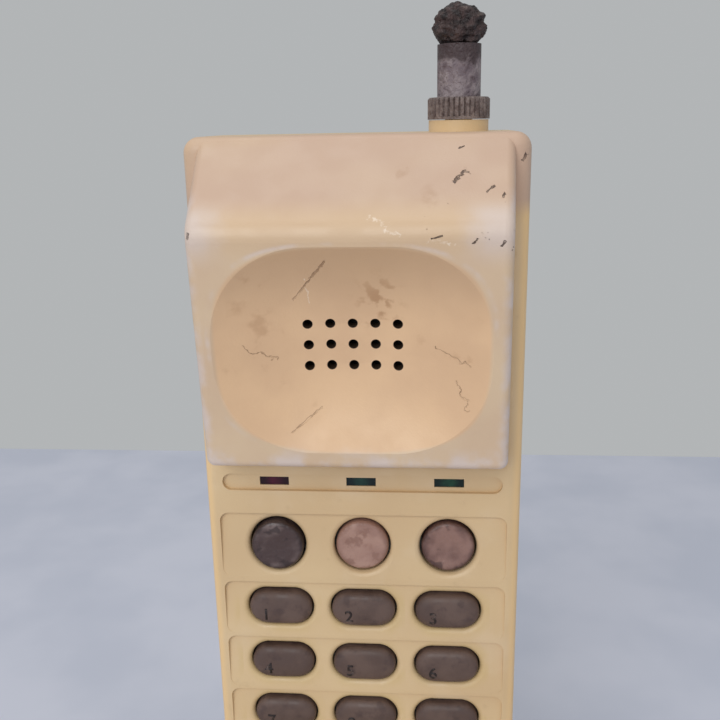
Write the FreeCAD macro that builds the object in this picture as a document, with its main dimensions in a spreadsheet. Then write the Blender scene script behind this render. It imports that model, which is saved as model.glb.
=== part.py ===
"""Cordless telephone: a brick handset standing in its charging base.

Millimetres, +Z up, the front of the telephone faces -Y.  The origin is on the table, under the
middle of the base.  Handset pieces are drawn in the handset's own frame (z = 0 at its lower end,
y = 0 where its side walls begin) and placed in the base by the two cells handset_y and handset_z.
"""

import os
import re

import FreeCAD
import Part
import Sketcher
from FreeCAD import Placement, Rotation, Vector

# ------------------------------------------------------------------ driving dimensions
DIMENSIONS = [
    # where the handset stands in the base
    ("handset_y", 16.0),
    ("handset_z", 10.0),
    # handset case
    ("case_width", 60.0),
    ("case_length", 180.0),
    ("panel_out", 4.0),
    ("seam_y", 3.0),
    ("case_back", 22.0),
    ("wall", 2.2),
    ("panel_wall", 2.4),
    ("front_round", 2.4),
    ("corner_round", 2.8),
    ("back_round", 5.0),
    # ear block and its dish; every "drop" is measured down from the handset's top
    ("ear_width", 55.3),
    ("ear_root", 6.0),
    ("ear_draft", 0.079),
    ("ridge_drop", 13.7),
    ("ridge_out", 20.4),
    ("foot_drop", 56.0),
    ("foot_out", 14.6),
    ("ear_end_drop", 59.5),
    ("ridge_round", 4.0),
    ("ear_round", 1.6),
    ("dish_drop", 35.0),
    ("dish_width", 46.6),
    ("dish_height", 36.8),
    ("dish_corner", 16.4),
    ("dish_depth", 5.4),
    ("sound_hole", 1.6),
    ("sound_pitch", 3.8),
    # mouth block
    ("mouth_width", 53.4),
    ("mouth_top_drop", 135.0),
    ("mouth_out", 9.0),
    ("mouth_drop", 142.0),
    ("mouth_foot_drop", 176.0),
    ("mic_drop", 147.5),
    # indicator strip
    ("lamp_drop", 63.7),
    ("lamp_pitch", 16.6),
    ("lamp_width", 5.6),
    ("lamp_height", 1.7),
    ("lamp_groove_width", 53.0),
    ("lamp_groove_height", 3.4),
    ("lamp_groove_depth", 0.8),
    # keys
    ("key_pitch_x", 16.5),
    ("key_pitch_z", 12.3),
    ("round_drop", 77.0),
    ("round_size", 10.2),
    ("key_drop", 90.75),
    ("key_width", 12.5),
    ("key_height", 7.1),
    ("key_gap", 0.3),
    ("key_flange", 0.7),
    ("key_rim", 1.0),
    ("basin_width", 55.0),
    ("basin_depth", 0.9),
    ("basin_height", 11.6),
    ("basin_first", 13.6),
    ("basin_corner", 1.8),
    # handset inside
    ("board_y", 2.1),
    ("board_thick", 1.6),
    ("board_width", 43.0),
    ("screw_x", 24.6),
    ("screw_low", 12.0),
    ("screw_high", 160.0),
    ("contact_x", 12.0),
    ("contact_y", 12.0),
    # battery bay
    ("cell_size", 14.0),
    ("cell_length", 50.5),
    ("bay_low", 69.0),
    ("bay_width", 45.6),
    ("bay_height", 56.0),
    ("bay_floor", 5.4),
    ("cover_thick", 2.0),
    ("cover_gap", 0.35),
    # handset antenna
    ("aerial_x", 18.0),
    ("aerial_y", 10.0),
    ("boss_size", 10.8),
    ("boss_height", 2.0),
    ("collar_size", 11.2),
    ("collar_height", 3.8),
    ("core_size", 7.8),
    ("core_height", 9.0),
    ("sleeve_size", 9.2),
    ("sleeve_height", 6.6),
    # base
    ("base_width", 100.0),
    ("base_depth", 116.0),
    ("base_rim", 2.6),
    ("nose_height", 16.0),
    ("deck_low", 20.0),
    ("deck_high", 36.0),
    ("ledge_y", 48.0),
    ("ledge_height", 27.0),
    ("base_wall", 2.2),
    ("well_gap", 0.6),
    ("well_drop", 0.3),
    ("rest_width", 50.0),
    ("rest_top", 70.0),
    ("page_y", -27.0),
    ("page_size", 14.0),
    ("base_lamp_y", -12.0),
    ("foot_size", 11.0),
    ("foot_x", 40.0),
    ("foot_y", 48.0),
    ("socket_z", 15.0),
    ("line_x", -24.0),
    ("power_x", 4.0),
    ("power_bore", 3.6),
    # base antenna, folded along the ledge
    ("mast_pivot_x", 42.0),
    ("mast_y", 53.0),
    ("mast_z", 31.6),
    ("mast_length", 76.0),
    ("mast_size", 5.6),
    ("mast_mid_size", 4.2),
    ("mast_top_size", 2.8),
    # electrical springs
    ("pin_size", 3.0),
]

doc = FreeCAD.newDocument("cordless_telephone")
sheet = doc.addObject("Spreadsheet::Sheet", "Dims")
for row, (alias, value) in enumerate(DIMENSIONS, start=1):
    sheet.set(f"A{row}", str(value))
    sheet.setAlias(f"A{row}", alias)
doc.recompute()

ALIAS = re.compile(r"\b(?:" + "|".join(alias for alias, _ in DIMENSIONS) + r")\b")
nodes = {}  # the finished pieces, by the name of their file


# ------------------------------------------------------------------ drawing helpers
def cells(expression):
    """The expression as other objects have to write it, each alias named as a cell of the sheet."""
    return ALIAS.sub(lambda found: f"Dims.{found.group()}", str(expression))


def value_of(expression):
    """The number that an expression has now."""
    return float(sheet.evalExpression(str(expression)))


def bind(item, path, expression):
    """Ties a property to the sheet, or sets it where the size is a plain number."""
    item.setExpression(path, cells(expression))


def keep(item, name, place=None):
    """Names a finished piece and puts it in its place; place is three expressions."""
    item.Label = name
    for axis, expression in zip("xyz", place or ()):
        bind(item, f"Placement.Base.{axis}", expression)
    nodes[name] = item
    return item


IN_HANDSET = ("0 * 1", "handset_y", "handset_z")


def new_body(name, place=None):
    item = doc.addObject("PartDesign::Body", f"{name}_body")
    return keep(item, name, place)


def sketch_on(body, plane, shift="0 * 1", lift=None, tilt=None):
    """A sketch on one of the body's origin planes, moved along the plane's normal by shift."""
    sketch = body.newObject("Sketcher::SketchObject", "outline")
    support = next(f for f in body.Origin.OriginFeatures if f.Role == f"{plane}_Plane")
    sketch.AttachmentSupport = [(support, "")]
    sketch.MapMode = "FlatFace"
    if tilt is not None:
        sketch.AttachmentOffset = Placement(Vector(), Rotation(Vector(1, 0, 0), 1))
        bind(sketch, "AttachmentOffset.Rotation.Angle", tilt)
    bind(sketch, "AttachmentOffset.Base.z", shift)
    if lift is not None:
        bind(sketch, "AttachmentOffset.Base.y", lift)
    return sketch


def pin_point(sketch, geometry, end, x, y):
    """Ties one point of a sketch to two expressions, measured from the sketch's origin."""
    for kind, axis, expression in (("DistanceX", -2, x), ("DistanceY", -1, y)):
        now = value_of(expression)
        if abs(now) < 1e-9:
            sketch.addConstraint(Sketcher.Constraint("PointOnObject", geometry, end, axis))
            continue
        index = sketch.addConstraint(Sketcher.Constraint(kind, -1, 1, geometry, end, now))
        bind(sketch, f"Constraints[{index}]", expression)


def polygon(sketch, points):
    """A closed outline whose every corner is bound to the sheet."""
    first = sketch.GeometryCount
    corners = [Vector(value_of(x), value_of(y), 0) for x, y in points]
    count = len(corners)
    for i, corner in enumerate(corners):
        sketch.addGeometry(Part.LineSegment(corner, corners[(i + 1) % count]))
    for i, (x, y) in enumerate(points):
        after = first + (i + 1) % count
        sketch.addConstraint(Sketcher.Constraint("Coincident", first + i, 2, after, 1))
        pin_point(sketch, first + i, 1, x, y)
    return sketch


def rectangle(sketch, x, y, width, height):
    """A rectangle about the point x, y."""
    left, right = f"( {x} ) - ( {width} ) / 2", f"( {x} ) + ( {width} ) / 2"
    low, high = f"( {y} ) - ( {height} ) / 2", f"( {y} ) + ( {height} ) / 2"
    return polygon(sketch, [(left, low), (right, low), (right, high), (left, high)])


def circle(sketch, x, y, size):
    """A circle of diameter size about the point x, y."""
    middle = Vector(value_of(x), value_of(y), 0)
    made = sketch.addGeometry(Part.Circle(middle, Vector(0, 0, 1), value_of(size) / 2))
    pin_point(sketch, made, 3, x, y)
    index = sketch.addConstraint(Sketcher.Constraint("Radius", made, value_of(size) / 2))
    bind(sketch, f"Constraints[{index}]", f"( {size} ) / 2")
    return sketch


def rounded(sketch, x, y, width, height, corner):
    """A rounded rectangle about x, y: four straight sides joined by tangent arcs."""
    cx, cy, r = value_of(x), value_of(y), value_of(corner)
    w, h = value_of(width) / 2, value_of(height) / 2
    first = sketch.GeometryCount
    arc_middles = [(1, -1), (1, 1), (-1, 1), (-1, -1)]
    for quarter, (sx, sy) in enumerate(arc_middles):
        middle = Vector(cx + sx * (w - r), cy + sy * (h - r), 0)
        full = Part.Circle(middle, Vector(0, 0, 1), r)
        start = (quarter - 1) * 1.5707963267948966
        sketch.addGeometry(Part.ArcOfCircle(full, start, start + 1.5707963267948966))
    for quarter in range(4):
        a = sketch.Geometry[first + quarter].EndPoint
        b = sketch.Geometry[first + (quarter + 1) % 4].StartPoint
        sketch.addGeometry(Part.LineSegment(a, b))
    for quarter, (sx, sy) in enumerate(arc_middles):
        arc, side = first + quarter, first + 4 + quarter
        after = first + (quarter + 1) % 4
        sketch.addConstraint(Sketcher.Constraint("Tangent", arc, 2, side, 1))
        sketch.addConstraint(Sketcher.Constraint("Tangent", side, 2, after, 1))
        index = sketch.addConstraint(Sketcher.Constraint("Radius", arc, r))
        bind(sketch, f"Constraints[{index}]", corner)
    across = f"( ( {width} ) / 2 - ( {corner} ) )"
    upward = f"( ( {height} ) / 2 - ( {corner} ) )"
    pin_point(sketch, first + 1, 3, f"( {x} ) + {across}", f"( {y} ) + {upward}")
    pin_point(sketch, first + 3, 3, f"( {x} ) - {across}", f"( {y} ) - {upward}")
    return sketch


def lozenge(sketch, x, y, length, width):
    """A slot with full round ends, lying along the sketch's first axis, about x, y."""
    cx, cy, r = value_of(x), value_of(y), value_of(width) / 2
    reach = value_of(length) / 2 - r
    first = sketch.GeometryCount
    half_turn = 3.141592653589793
    for sign, start in ((1, -half_turn / 2), (-1, half_turn / 2)):
        full = Part.Circle(Vector(cx + sign * reach, cy, 0), Vector(0, 0, 1), r)
        sketch.addGeometry(Part.ArcOfCircle(full, start, start + half_turn))
    for a, b in ((0, 1), (1, 0)):
        start = sketch.Geometry[first + a].EndPoint
        end = sketch.Geometry[first + b].StartPoint
        sketch.addGeometry(Part.LineSegment(start, end))
    for arc, side, after in ((0, 2, 1), (1, 3, 0)):
        sketch.addConstraint(Sketcher.Constraint("Tangent", first + arc, 2, first + side, 1))
        sketch.addConstraint(Sketcher.Constraint("Tangent", first + side, 2, first + after, 1))
    index = sketch.addConstraint(Sketcher.Constraint("Radius", first, r))
    bind(sketch, f"Constraints[{index}]", f"( {width} ) / 2")
    offset = f"( ( {length} ) - ( {width} ) ) / 2"
    pin_point(sketch, first, 3, f"( {x} ) + {offset}", y)
    index = sketch.addConstraint(Sketcher.Constraint("DistanceX", first + 1, 3, first, 3, 2 * reach))
    bind(sketch, f"Constraints[{index}]", f"( {length} ) - ( {width} )")
    return sketch


def feature(kind, sketch, length, both_sides=False, backwards=False):
    """A Pad or Pocket of a sketch; both_sides shares the length evenly about its plane."""
    body = sketch.getParentGeoFeatureGroup()
    made = body.newObject(f"PartDesign::{kind}", kind.lower())
    made.Profile = sketch
    bind(made, "Length", length)
    if both_sides:
        made.SideType = "Symmetric"
    made.Reversed = backwards
    return made


def loft(kind, sketches):
    """An AdditiveLoft or SubtractiveLoft through several sketches of one body."""
    body = sketches[0].getParentGeoFeatureGroup()
    made = body.newObject(f"PartDesign::{kind}", kind.lower())
    made.Profile = sketches[0]
    made.Sections = sketches[1:]
    return made


def soften(body, radius, wanted, kind="Fillet"):
    """Rounds or bevels the edges of the body's last feature whose middle point is wanted."""
    doc.recompute()
    shape = body.Tip.Shape
    chosen = []
    for number, edge in enumerate(shape.Edges, start=1):
        low, high = edge.ParameterRange
        middle = edge.valueAt((low + high) / 2)
        if wanted(middle, edge):
            chosen.append(f"Edge{number}")
    base = body.Tip
    made = body.newObject(f"PartDesign::{kind}", kind.lower())
    made.Base = (base, chosen)
    bind(made, "Radius" if kind == "Fillet" else "Size", radius)
    return made


def near(a, b, slack=0.05):
    return abs(a - b) < slack


def solid(kind, sizes, place=(), turn=None):
    """A Part primitive whose sizes and place are bound to the sheet."""
    item = doc.addObject(f"Part::{kind}", kind.lower())
    if turn is not None:
        item.Placement = Placement(Vector(), Rotation(Vector(*turn[0]), turn[1]))
    for name, expression in sizes.items():
        bind(item, name, expression)
    for axis, expression in zip("xyz", place):
        bind(item, f"Placement.Base.{axis}", expression)
    return item


def block(x, y, z, width, depth, height):
    """A box about x and y that stands on z."""
    sizes = {"Length": width, "Width": depth, "Height": height}
    corner = (f"( {x} ) - ( {width} ) / 2", f"( {y} ) - ( {depth} ) / 2", z)
    return solid("Box", sizes, corner)


ALONG_Y = ((1, 0, 0), -90)
ALONG_X = ((0, 1, 0), 90)


def rod(x, y, z, size, length, turn=None):
    """A cylinder of diameter size that starts at x, y, z and runs along +Z unless turned."""
    return solid("Cylinder", {"Radius": f"( {size} ) / 2", "Height": length}, (x, y, z), turn)


def joined(items):
    made = doc.addObject("Part::MultiFuse", "joined")
    made.Shapes = items
    return made


def cut(item, *tools):
    made = doc.addObject("Part::Cut", "cut")
    made.Base = item
    made.Tool = tools[0] if len(tools) == 1 else joined(list(tools))
    return made


def group(items):
    """Separate solids that share one node, or one solid that needs a placement of its own."""
    made = doc.addObject("Part::Compound", "group")
    made.Links = items
    return made


# ------------------------------------------------------------------ shared handset geometry
FACE_TILT = "atan( ( ridge_out - foot_out ) / ( foot_drop - ridge_drop ) )"
FACE_SHARE = "( dish_drop - ridge_drop ) / ( foot_drop - ridge_drop )"
FACE_OUT = f"( ridge_out - ( ridge_out - foot_out ) * {FACE_SHARE} )"
KEY_ROWS = range(4)
COLUMNS = (-1, 0, 1)
SCREW_PLACES = [(side, height) for side in (-1, 1) for height in ("screw_low", "screw_high")]
PANEL_BACK = "( 0 - panel_out + panel_wall )"  # y of the panel's inner face


def row_z(row):
    """Height of the middle of a row of digit keys above the handset's lower end."""
    return f"( case_length - key_drop - {row} * key_pitch_z )"


def on_face(body, depth):
    """A sketch parallel to the ear face, sunk into it by depth along its normal."""
    return sketch_on(
        body,
        "XZ",
        shift=f"{FACE_OUT} - ( {depth} ) * cos( {FACE_TILT} )",
        lift=f"case_length - dish_drop + ( {depth} ) * sin( {FACE_TILT} )",
        tilt=FACE_TILT,
    )


def scoop(body, kind, grow, start, bottom):
    """The ear dish as a loft: outlines that shrink as the square root of the height left."""
    sections = []
    for share in (0, 0.24, 0.5, 0.76, 0.96):
        scale = (1 - share) ** 0.5
        depth = f"( {start} + ( {bottom} - {start} ) * {share} )"
        sections.append(
            rounded(
                on_face(body, depth), 0, 0,
                f"( dish_width + {grow} ) * {scale:.4f}",
                f"( dish_height + {grow} ) * {scale:.4f}",
                f"( dish_corner + {grow} / 2 ) * {scale:.4f}",
            )
        )
    return loft(kind, sections)


# ------------------------------------------------------------------ handset: front shell
def ear_block():
    """The raised block round the ear, rooted inside the case so that its edges round evenly.

    Its forehead runs down from the case's rounded top edge, and its two sides are drafted.
    """
    body = doc.addObject("PartDesign::Body", "ear_block")
    root = "( ear_root - panel_out )"
    profile = [
        ("front_round / 2 - panel_out", "case_length - 0.17 * front_round"),
        ("0 - ridge_out", "case_length - ridge_drop"),
        ("0 - foot_out", "case_length - foot_drop"),
        ("0 - panel_out", "case_length - ear_end_drop"),
        (root, "case_length - ear_end_drop"),
        (root, "case_length - 2 * front_round"),
    ]
    feature("Pad", polygon(sketch_on(body, "YZ"), profile), "ear_width", both_sides=True)
    sides = sketch_on(body, "XY", "case_length + 1")
    reach = "( 2 * ridge_out )"
    for side in (-1, 1):
        polygon(sides, [
            (f"{side} * ear_width / 2", root),
            (f"{side} * ( ear_width / 2 - {reach} * ear_draft )", f"{root} - {reach}"),
            (f"{side} * ( ear_width / 2 + 4 )", f"{root} - {reach}"),
        ])
    feature("Pocket", sides, "ear_end_drop + 4")
    ridge_z, ridge_y = value_of("case_length - ridge_drop"), -value_of("ridge_out")
    soften(body, "ridge_round", lambda p, e: near(p.z, ridge_z) and near(p.y, ridge_y))
    front, back, foot_z = -value_of("panel_out"), value_of(root), value_of("case_length - foot_drop")
    soften(body, "ear_round", lambda p, e: e.BoundBox.YMax < back - 0.3 and p.y < front - 0.3
           and (abs(p.x) > 1 or near(p.z, foot_z)))
    return body


def front_shell():
    """The cream front moulding: key panel, ear block with its dish, and mouth block."""
    body = new_body("handset_front_shell", IN_HANDSET)
    top, half = "case_length", "case_width / 2"
    sides = [("0 - panel_out", 0), ("seam_y", 0), ("seam_y", top), ("0 - panel_out", top)]
    feature("Pad", polygon(sketch_on(body, "YZ"), sides), "case_width", both_sides=True)
    width, length, front = value_of(half), value_of(top), -value_of("panel_out")
    seam = value_of("seam_y")
    soften(body, "corner_round", lambda p, e: near(abs(p.x), width) and (near(p.z, 0) or near(p.z, length)))
    soften(body, "front_round", lambda p, e: e.BoundBox.YMax < seam - 0.05)
    merged = body.newObject("PartDesign::Boolean", "with_ear_block")
    merged.Type = "Fuse"
    merged.setObjects([ear_block()])
    mouth = [
        ("1 - panel_out", "case_length - mouth_top_drop"),
        ("0 - mouth_out", "case_length - mouth_drop"),
        ("0 - mouth_out", "case_length - mouth_foot_drop"),
        ("1 - panel_out", "case_length - mouth_foot_drop - 3"),
    ]
    feature("Pad", polygon(sketch_on(body, "YZ"), mouth), "mouth_width", both_sides=True)
    mouth_z = value_of("case_length - mouth_top_drop")
    soften(body, "ear_round", lambda p, e: p.y < front - 0.3 and p.z < mouth_z and not is_crease(e))

    # hollow: the case behind the panel, then the insides of the two raised blocks
    hollow = [
        (PANEL_BACK, "wall"),
        ("seam_y + 1", "wall"),
        ("seam_y + 1", "case_length - wall"),
        (PANEL_BACK, "case_length - wall"),
    ]
    across = "case_width - 2 * wall"
    feature("Pocket", polygon(sketch_on(body, "YZ"), hollow), across, both_sides=True)
    ear_hollow = [
        (f"{PANEL_BACK} + 0.3", "case_length - 6"),
        ("2.9 - ridge_out", "case_length - ridge_drop - 1.6"),
        ("2.4 - foot_out", "case_length - foot_drop + 2.4"),
        (f"{PANEL_BACK} + 0.3", "case_length - ear_end_drop + 2.8"),
    ]
    across = "mouth_width - 2 * wall - 1"
    feature("Pocket", polygon(sketch_on(body, "YZ"), ear_hollow), across, both_sides=True)
    mouth_hollow = [
        (f"{PANEL_BACK} + 0.3", "case_length - mouth_top_drop - 3.2"),
        ("wall - mouth_out", "case_length - mouth_drop - 1.4"),
        ("wall - mouth_out", "case_length - mouth_foot_drop + 1.6"),
        (f"{PANEL_BACK} + 0.3", "case_length - mouth_foot_drop + 0.6"),
    ]
    feature("Pocket", polygon(sketch_on(body, "YZ"), mouth_hollow), across, both_sides=True)

    # the dish is a bowl of even wall: its back is added inside the block, then its hollow is cut
    scoop(body, "AdditiveLoft", 1.6, 1, "( dish_depth + wall )")
    scoop(body, "SubtractiveLoft", 0, 0, "dish_depth")
    grid = on_face(body, 0)
    for column in range(-2, 3):
        for line in range(-1, 2):
            circle(grid, f"{column} * sound_pitch", f"{line} * sound_pitch", "sound_hole")
    feature("Pocket", grid, "dish_depth + wall + 1")

    panel_openings(body)
    screw_posts(body)
    return body


def is_crease(edge):
    """True where two faces meet in an inner corner, as where a raised block stands on the panel."""
    return edge.BoundBox.YMax > -value_of("panel_out") - 0.05


def panel_openings(body):
    """Everything cut through or into the key panel, from the indicator strip to the microphone."""
    groove = sketch_on(body, "XZ", "panel_out")
    lozenge(groove, 0, "case_length - lamp_drop", "lamp_groove_width", "lamp_groove_height")
    feature("Pocket", groove, "lamp_groove_depth")
    windows = sketch_on(body, "XZ", "panel_out")
    for column in COLUMNS:
        rectangle(windows, f"{column} * lamp_pitch", "case_length - lamp_drop", "lamp_width", "lamp_height")
    feature("Pocket", windows, "panel_wall + 1")

    # each row of keys lies in a basin that steps in at its top and runs out to nothing at its foot
    middles = ["case_length - round_drop"] + [row_z(row) for row in KEY_ROWS]
    heights = ["basin_first"] + ["basin_height"] * len(KEY_ROWS)
    for middle, height in zip(middles, heights):
        lean = f"atan( basin_depth / ( {height} ) )"
        basin = sketch_on(body, "XZ", "panel_out - basin_depth / 2", lift=middle, tilt=f"-1 * {lean}")
        rounded(basin, 0, 0, "basin_width", height, "basin_corner")
        feature("Pocket", basin, "3", backwards=True)
    holes = sketch_on(body, "XZ", "panel_out")
    for column in COLUMNS:
        circle(holes, f"{column} * key_pitch_x", "case_length - round_drop", "round_size + 2.6 * key_gap")
        for row in KEY_ROWS:
            lozenge(holes, f"{column} * key_pitch_x", row_z(row),
                    "key_width + 2 * key_gap", "key_height + 2 * key_gap")
    feature("Pocket", holes, "panel_wall + 1")
    top_z, low_z = value_of("case_length - round_drop + 7"), value_of(f"{row_z(3)} - 6")
    front, back = -value_of("panel_out"), value_of(PANEL_BACK)
    reach = value_of("key_pitch_x + key_width / 2 + 1")
    soften(body, "key_rim", lambda p, e: front - 0.01 < p.y < back - 0.6 and low_z < p.z < top_z
           and abs(p.x) < reach and is_hole_rim(e, p))
    mouthpiece = sketch_on(body, "XZ", "mouth_out")
    for column in range(-1, 2):
        for line in range(2):
            circle(mouthpiece, f"{column} * sound_pitch",
                   f"case_length - mic_drop - {line} * sound_pitch", "sound_hole")
    feature("Pocket", mouthpiece, "wall + 1")


def is_hole_rim(edge, middle):
    """True for an edge round a key's hole: it is nearer to a key's middle than any basin edge."""
    pitch, half_x = value_of("key_pitch_x"), value_of("key_width / 2 + key_gap")
    half_z = value_of("key_height / 2 + key_gap")
    round_z, round_half = value_of("case_length - round_drop"), value_of("round_size / 2 + 1.3 * key_gap")
    column_x = middle.x - round(middle.x / pitch) * pitch
    if abs(middle.z - round_z) < round_half + 0.3:
        return abs(Vector(column_x, 0, middle.z - round_z).Length - round_half) < 0.2
    row_middles = [value_of(row_z(row)) for row in KEY_ROWS]
    row_z_off = min((middle.z - z for z in row_middles), key=abs)
    return near(abs(row_z_off), half_z, 0.12) or near(abs(column_x), half_x, 0.12)


def screw_posts(body):
    """Four posts inside the front shell that the case screws bite into."""
    posts = sketch_on(body, "XZ", "0 - seam_y + 0.2")
    for side, height in SCREW_PLACES:
        circle(posts, f"{side} * screw_x", height, 5)
    feature("Pad", posts, "seam_y + panel_out - 0.2 - 1")
    pilots = sketch_on(body, "XZ", "0 - seam_y")
    for side, height in SCREW_PLACES:
        circle(pilots, f"{side} * screw_x", height, 1.8)
    feature("Pocket", pilots, "seam_y + panel_out - 1.6", backwards=True)


# ------------------------------------------------------------------ handset: rear shell
def rear_shell():
    """The back moulding: a tray with the battery bay, the antenna boss and the contact slots."""
    body = new_body("handset_rear_shell", IN_HANDSET)
    top = "case_length"
    sides = [("seam_y", 0), ("case_back", 0), ("case_back", top), ("seam_y", top)]
    feature("Pad", polygon(sketch_on(body, "YZ"), sides), "case_width", both_sides=True)
    width, back = value_of("case_width / 2"), value_of("case_back")
    length = value_of(top)
    soften(body, "corner_round", lambda p, e: near(abs(p.x), width) and (near(p.z, 0) or near(p.z, length)))
    soften(body, "back_round", lambda p, e: near(p.y, back))
    hollow = [
        ("seam_y - 1", "wall"),
        ("case_back - wall", "wall"),
        ("case_back - wall", "case_length - wall"),
        ("seam_y - 1", "case_length - wall"),
    ]
    feature("Pocket", polygon(sketch_on(body, "YZ"), hollow), "case_width - 2 * wall", both_sides=True)

    # battery bay: a box standing in the tray, opened from the back, with a ledge for its cover
    bay_middle = "bay_low + bay_height / 2"
    bay = sketch_on(body, "XZ", "0 - case_back + 1")
    rectangle(bay, 0, bay_middle, "bay_width + 2.4", "bay_height + 2.4")
    feature("Pad", bay, "case_back - 1 - bay_floor + 1")
    inside = sketch_on(body, "XZ", "0 - case_back")
    rectangle(inside, 0, bay_middle, "bay_width", "bay_height")
    feature("Pocket", inside, "case_back - bay_floor", backwards=True)
    ledge = sketch_on(body, "XZ", "0 - case_back")
    rectangle(ledge, 0, bay_middle, "bay_width + 4", "bay_height + 4")
    feature("Pocket", ledge, "cover_thick + 0.1", backwards=True)

    boss = sketch_on(body, "XY", "case_length - wall")
    circle(boss, "aerial_x", "aerial_y", "boss_size")
    feature("Pad", boss, "boss_height + wall")
    bush = sketch_on(body, "XY", "case_length - 11")
    circle(bush, "aerial_x", "aerial_y", "boss_size")
    feature("Pad", bush, "9")
    bore = sketch_on(body, "XY", "case_length + boss_height")
    circle(bore, "aerial_x", "aerial_y", 7.2)
    feature("Pocket", bore, "boss_height + 12")

    tubes = sketch_on(body, "XZ", "0 - case_back + 1")
    for side, height in SCREW_PLACES:
        circle(tubes, f"{side} * screw_x", height, 5.6)
    feature("Pad", tubes, "case_back - seam_y - 1.4")
    for size, depth in ((4.4, 13), (2.6, 20)):
        holes = sketch_on(body, "XZ", "0 - case_back")
        for side, height in SCREW_PLACES:
            circle(holes, f"{side} * screw_x", height, size)
        feature("Pocket", holes, str(depth), backwards=True)
    slots = sketch_on(body, "XY")
    for side in (-1, 1):
        rectangle(slots, f"{side} * contact_x", "contact_y", 7.2, 6.2)
    feature("Pocket", slots, "wall + 1", backwards=True)
    return body


# ------------------------------------------------------------------ handset: keys
def digit_key(name, column, row):
    """One lozenge key: a cap with a rounded face, and the flange that holds it behind the panel."""
    place = (f"{column} * key_pitch_x", "handset_y", f"handset_z + {row_z(row)}")
    body = new_body(name, place)
    cap = lozenge(sketch_on(body, "XZ", "panel_out - panel_wall - 0.1"), 0, 0, "key_width", "key_height")
    feature("Pad", cap, "panel_wall + 0.8")
    face = -value_of("panel_out + 0.7")
    soften(body, "1.1", lambda p, e: near(p.y, face))
    flange = sketch_on(body, "XZ", "panel_out - panel_wall - 0.1")
    lozenge(flange, 0, 0, "key_width + 2 * key_flange", "key_height + 2 * key_flange")
    feature("Pad", flange, "0.8", backwards=True)
    return body


def round_button(name, column, proud):
    """One of the three round buttons under the indicators; proud is how far its face stands out."""
    place = (f"{column} * key_pitch_x", "handset_y", "handset_z + case_length - round_drop")
    body = new_body(name, place)
    cap = circle(sketch_on(body, "XZ", "panel_out - panel_wall - 0.1"), 0, 0, "round_size")
    feature("Pad", cap, f"panel_wall + 0.1 + {proud}")
    face = -value_of(f"panel_out + {proud}")
    soften(body, "0.8", lambda p, e: near(p.y, face))
    flange = circle(sketch_on(body, "XZ", "panel_out - panel_wall - 0.1"), 0, 0, "round_size + 2.2")
    feature("Pad", flange, "0.8", backwards=True)
    return body


# ------------------------------------------------------------------ handset: electronics
def key_mat():
    """The rubber mat behind the keys: a sheet with one low dome under each key."""
    low = f"{row_z(3)} - 7"
    height = f"case_length - round_drop + 7 - ( {low} )"
    slab = block(0, "board_y - 0.4", low, "board_width", 0.8, height)
    domes = []
    for column in COLUMNS:
        for middle in ["case_length - round_drop"] + [row_z(row) for row in KEY_ROWS]:
            x = f"{column} * key_pitch_x"
            cone = {"Radius1": "1.6", "Radius2": "2.6", "Height": "0.9"}
            domes.append(solid("Cone", cone, (x, f"{PANEL_BACK} + 2.0", middle), ALONG_Y))
    return keep(joined([slab] + domes), "keypad_mat", IN_HANDSET)


def circuit_board():
    board = block(0, "board_y + board_thick / 2", 5, "board_width", "board_thick", 168)
    return keep(group([board]), "handset_circuit_board", IN_HANDSET)


def board_parts():
    """Screening can, two chips, a crystal and the three indicator lamps on the board."""
    back = "board_y + board_thick"
    items = [
        block(-5, f"{back} + 2.5", 132, 28, 5, 30),
        block(-2, f"{back} + 1", 40, 20, 2, 12),
        block(-10, f"{back} + 1", 20, 10, 2, 14),
        block(10, f"{back} + 1.75", 22, 5, 3.5, 11),
    ]
    for column in COLUMNS:
        depth = f"( board_y - {PANEL_BACK} - 0.1 )"
        items.append(
            block(f"{column} * lamp_pitch", f"board_y - {depth} / 2",
                  "case_length - lamp_drop - 1", 5, depth, 2)
        )
    return keep(group(items), "board_components", IN_HANDSET)


def lamp_lens(name, column):
    """A coloured window that snaps into the indicator strip from behind."""
    x, z = f"{column} * lamp_pitch", "case_length - lamp_drop"
    depth = "panel_wall - lamp_groove_depth - 0.2"
    pane = block(x, f"lamp_groove_depth + 0.2 - panel_out + ( {depth} ) / 2",
                 f"{z} - lamp_height / 2 + 0.05", "lamp_width - 0.1", depth, "lamp_height - 0.1")
    return keep(group([pane]), name, IN_HANDSET)


def tilted(item, name):
    """Puts a piece that was drawn about the dish's middle onto the tilted ear face."""
    item.Placement = Placement(Vector(), Rotation(Vector(1, 0, 0), 1))
    bind(item, "Placement.Rotation.Angle", FACE_TILT)
    place = ("0 * 1", f"handset_y - {FACE_OUT}", "handset_z + case_length - dish_drop")
    return keep(item, name, place)


def earpiece():
    """The receiver capsule and the foam ring that seals it against the back of the dish."""
    start = "dish_depth + wall + 0.2"
    ring = cut(
        rod(0, start, 0, 26, 1.2, ALONG_Y),
        rod(0, f"{start} - 1", 0, 21, 4, ALONG_Y),
    )
    tilted(ring, "earpiece_gasket")
    capsule = joined([
        rod(0, f"{start} + 1.3", 0, 28, 4.2, ALONG_Y),
        rod(0, f"{start} + 5.5", 0, 15, 1.8, ALONG_Y),
    ])
    tilted(capsule, "earpiece_capsule")


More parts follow.
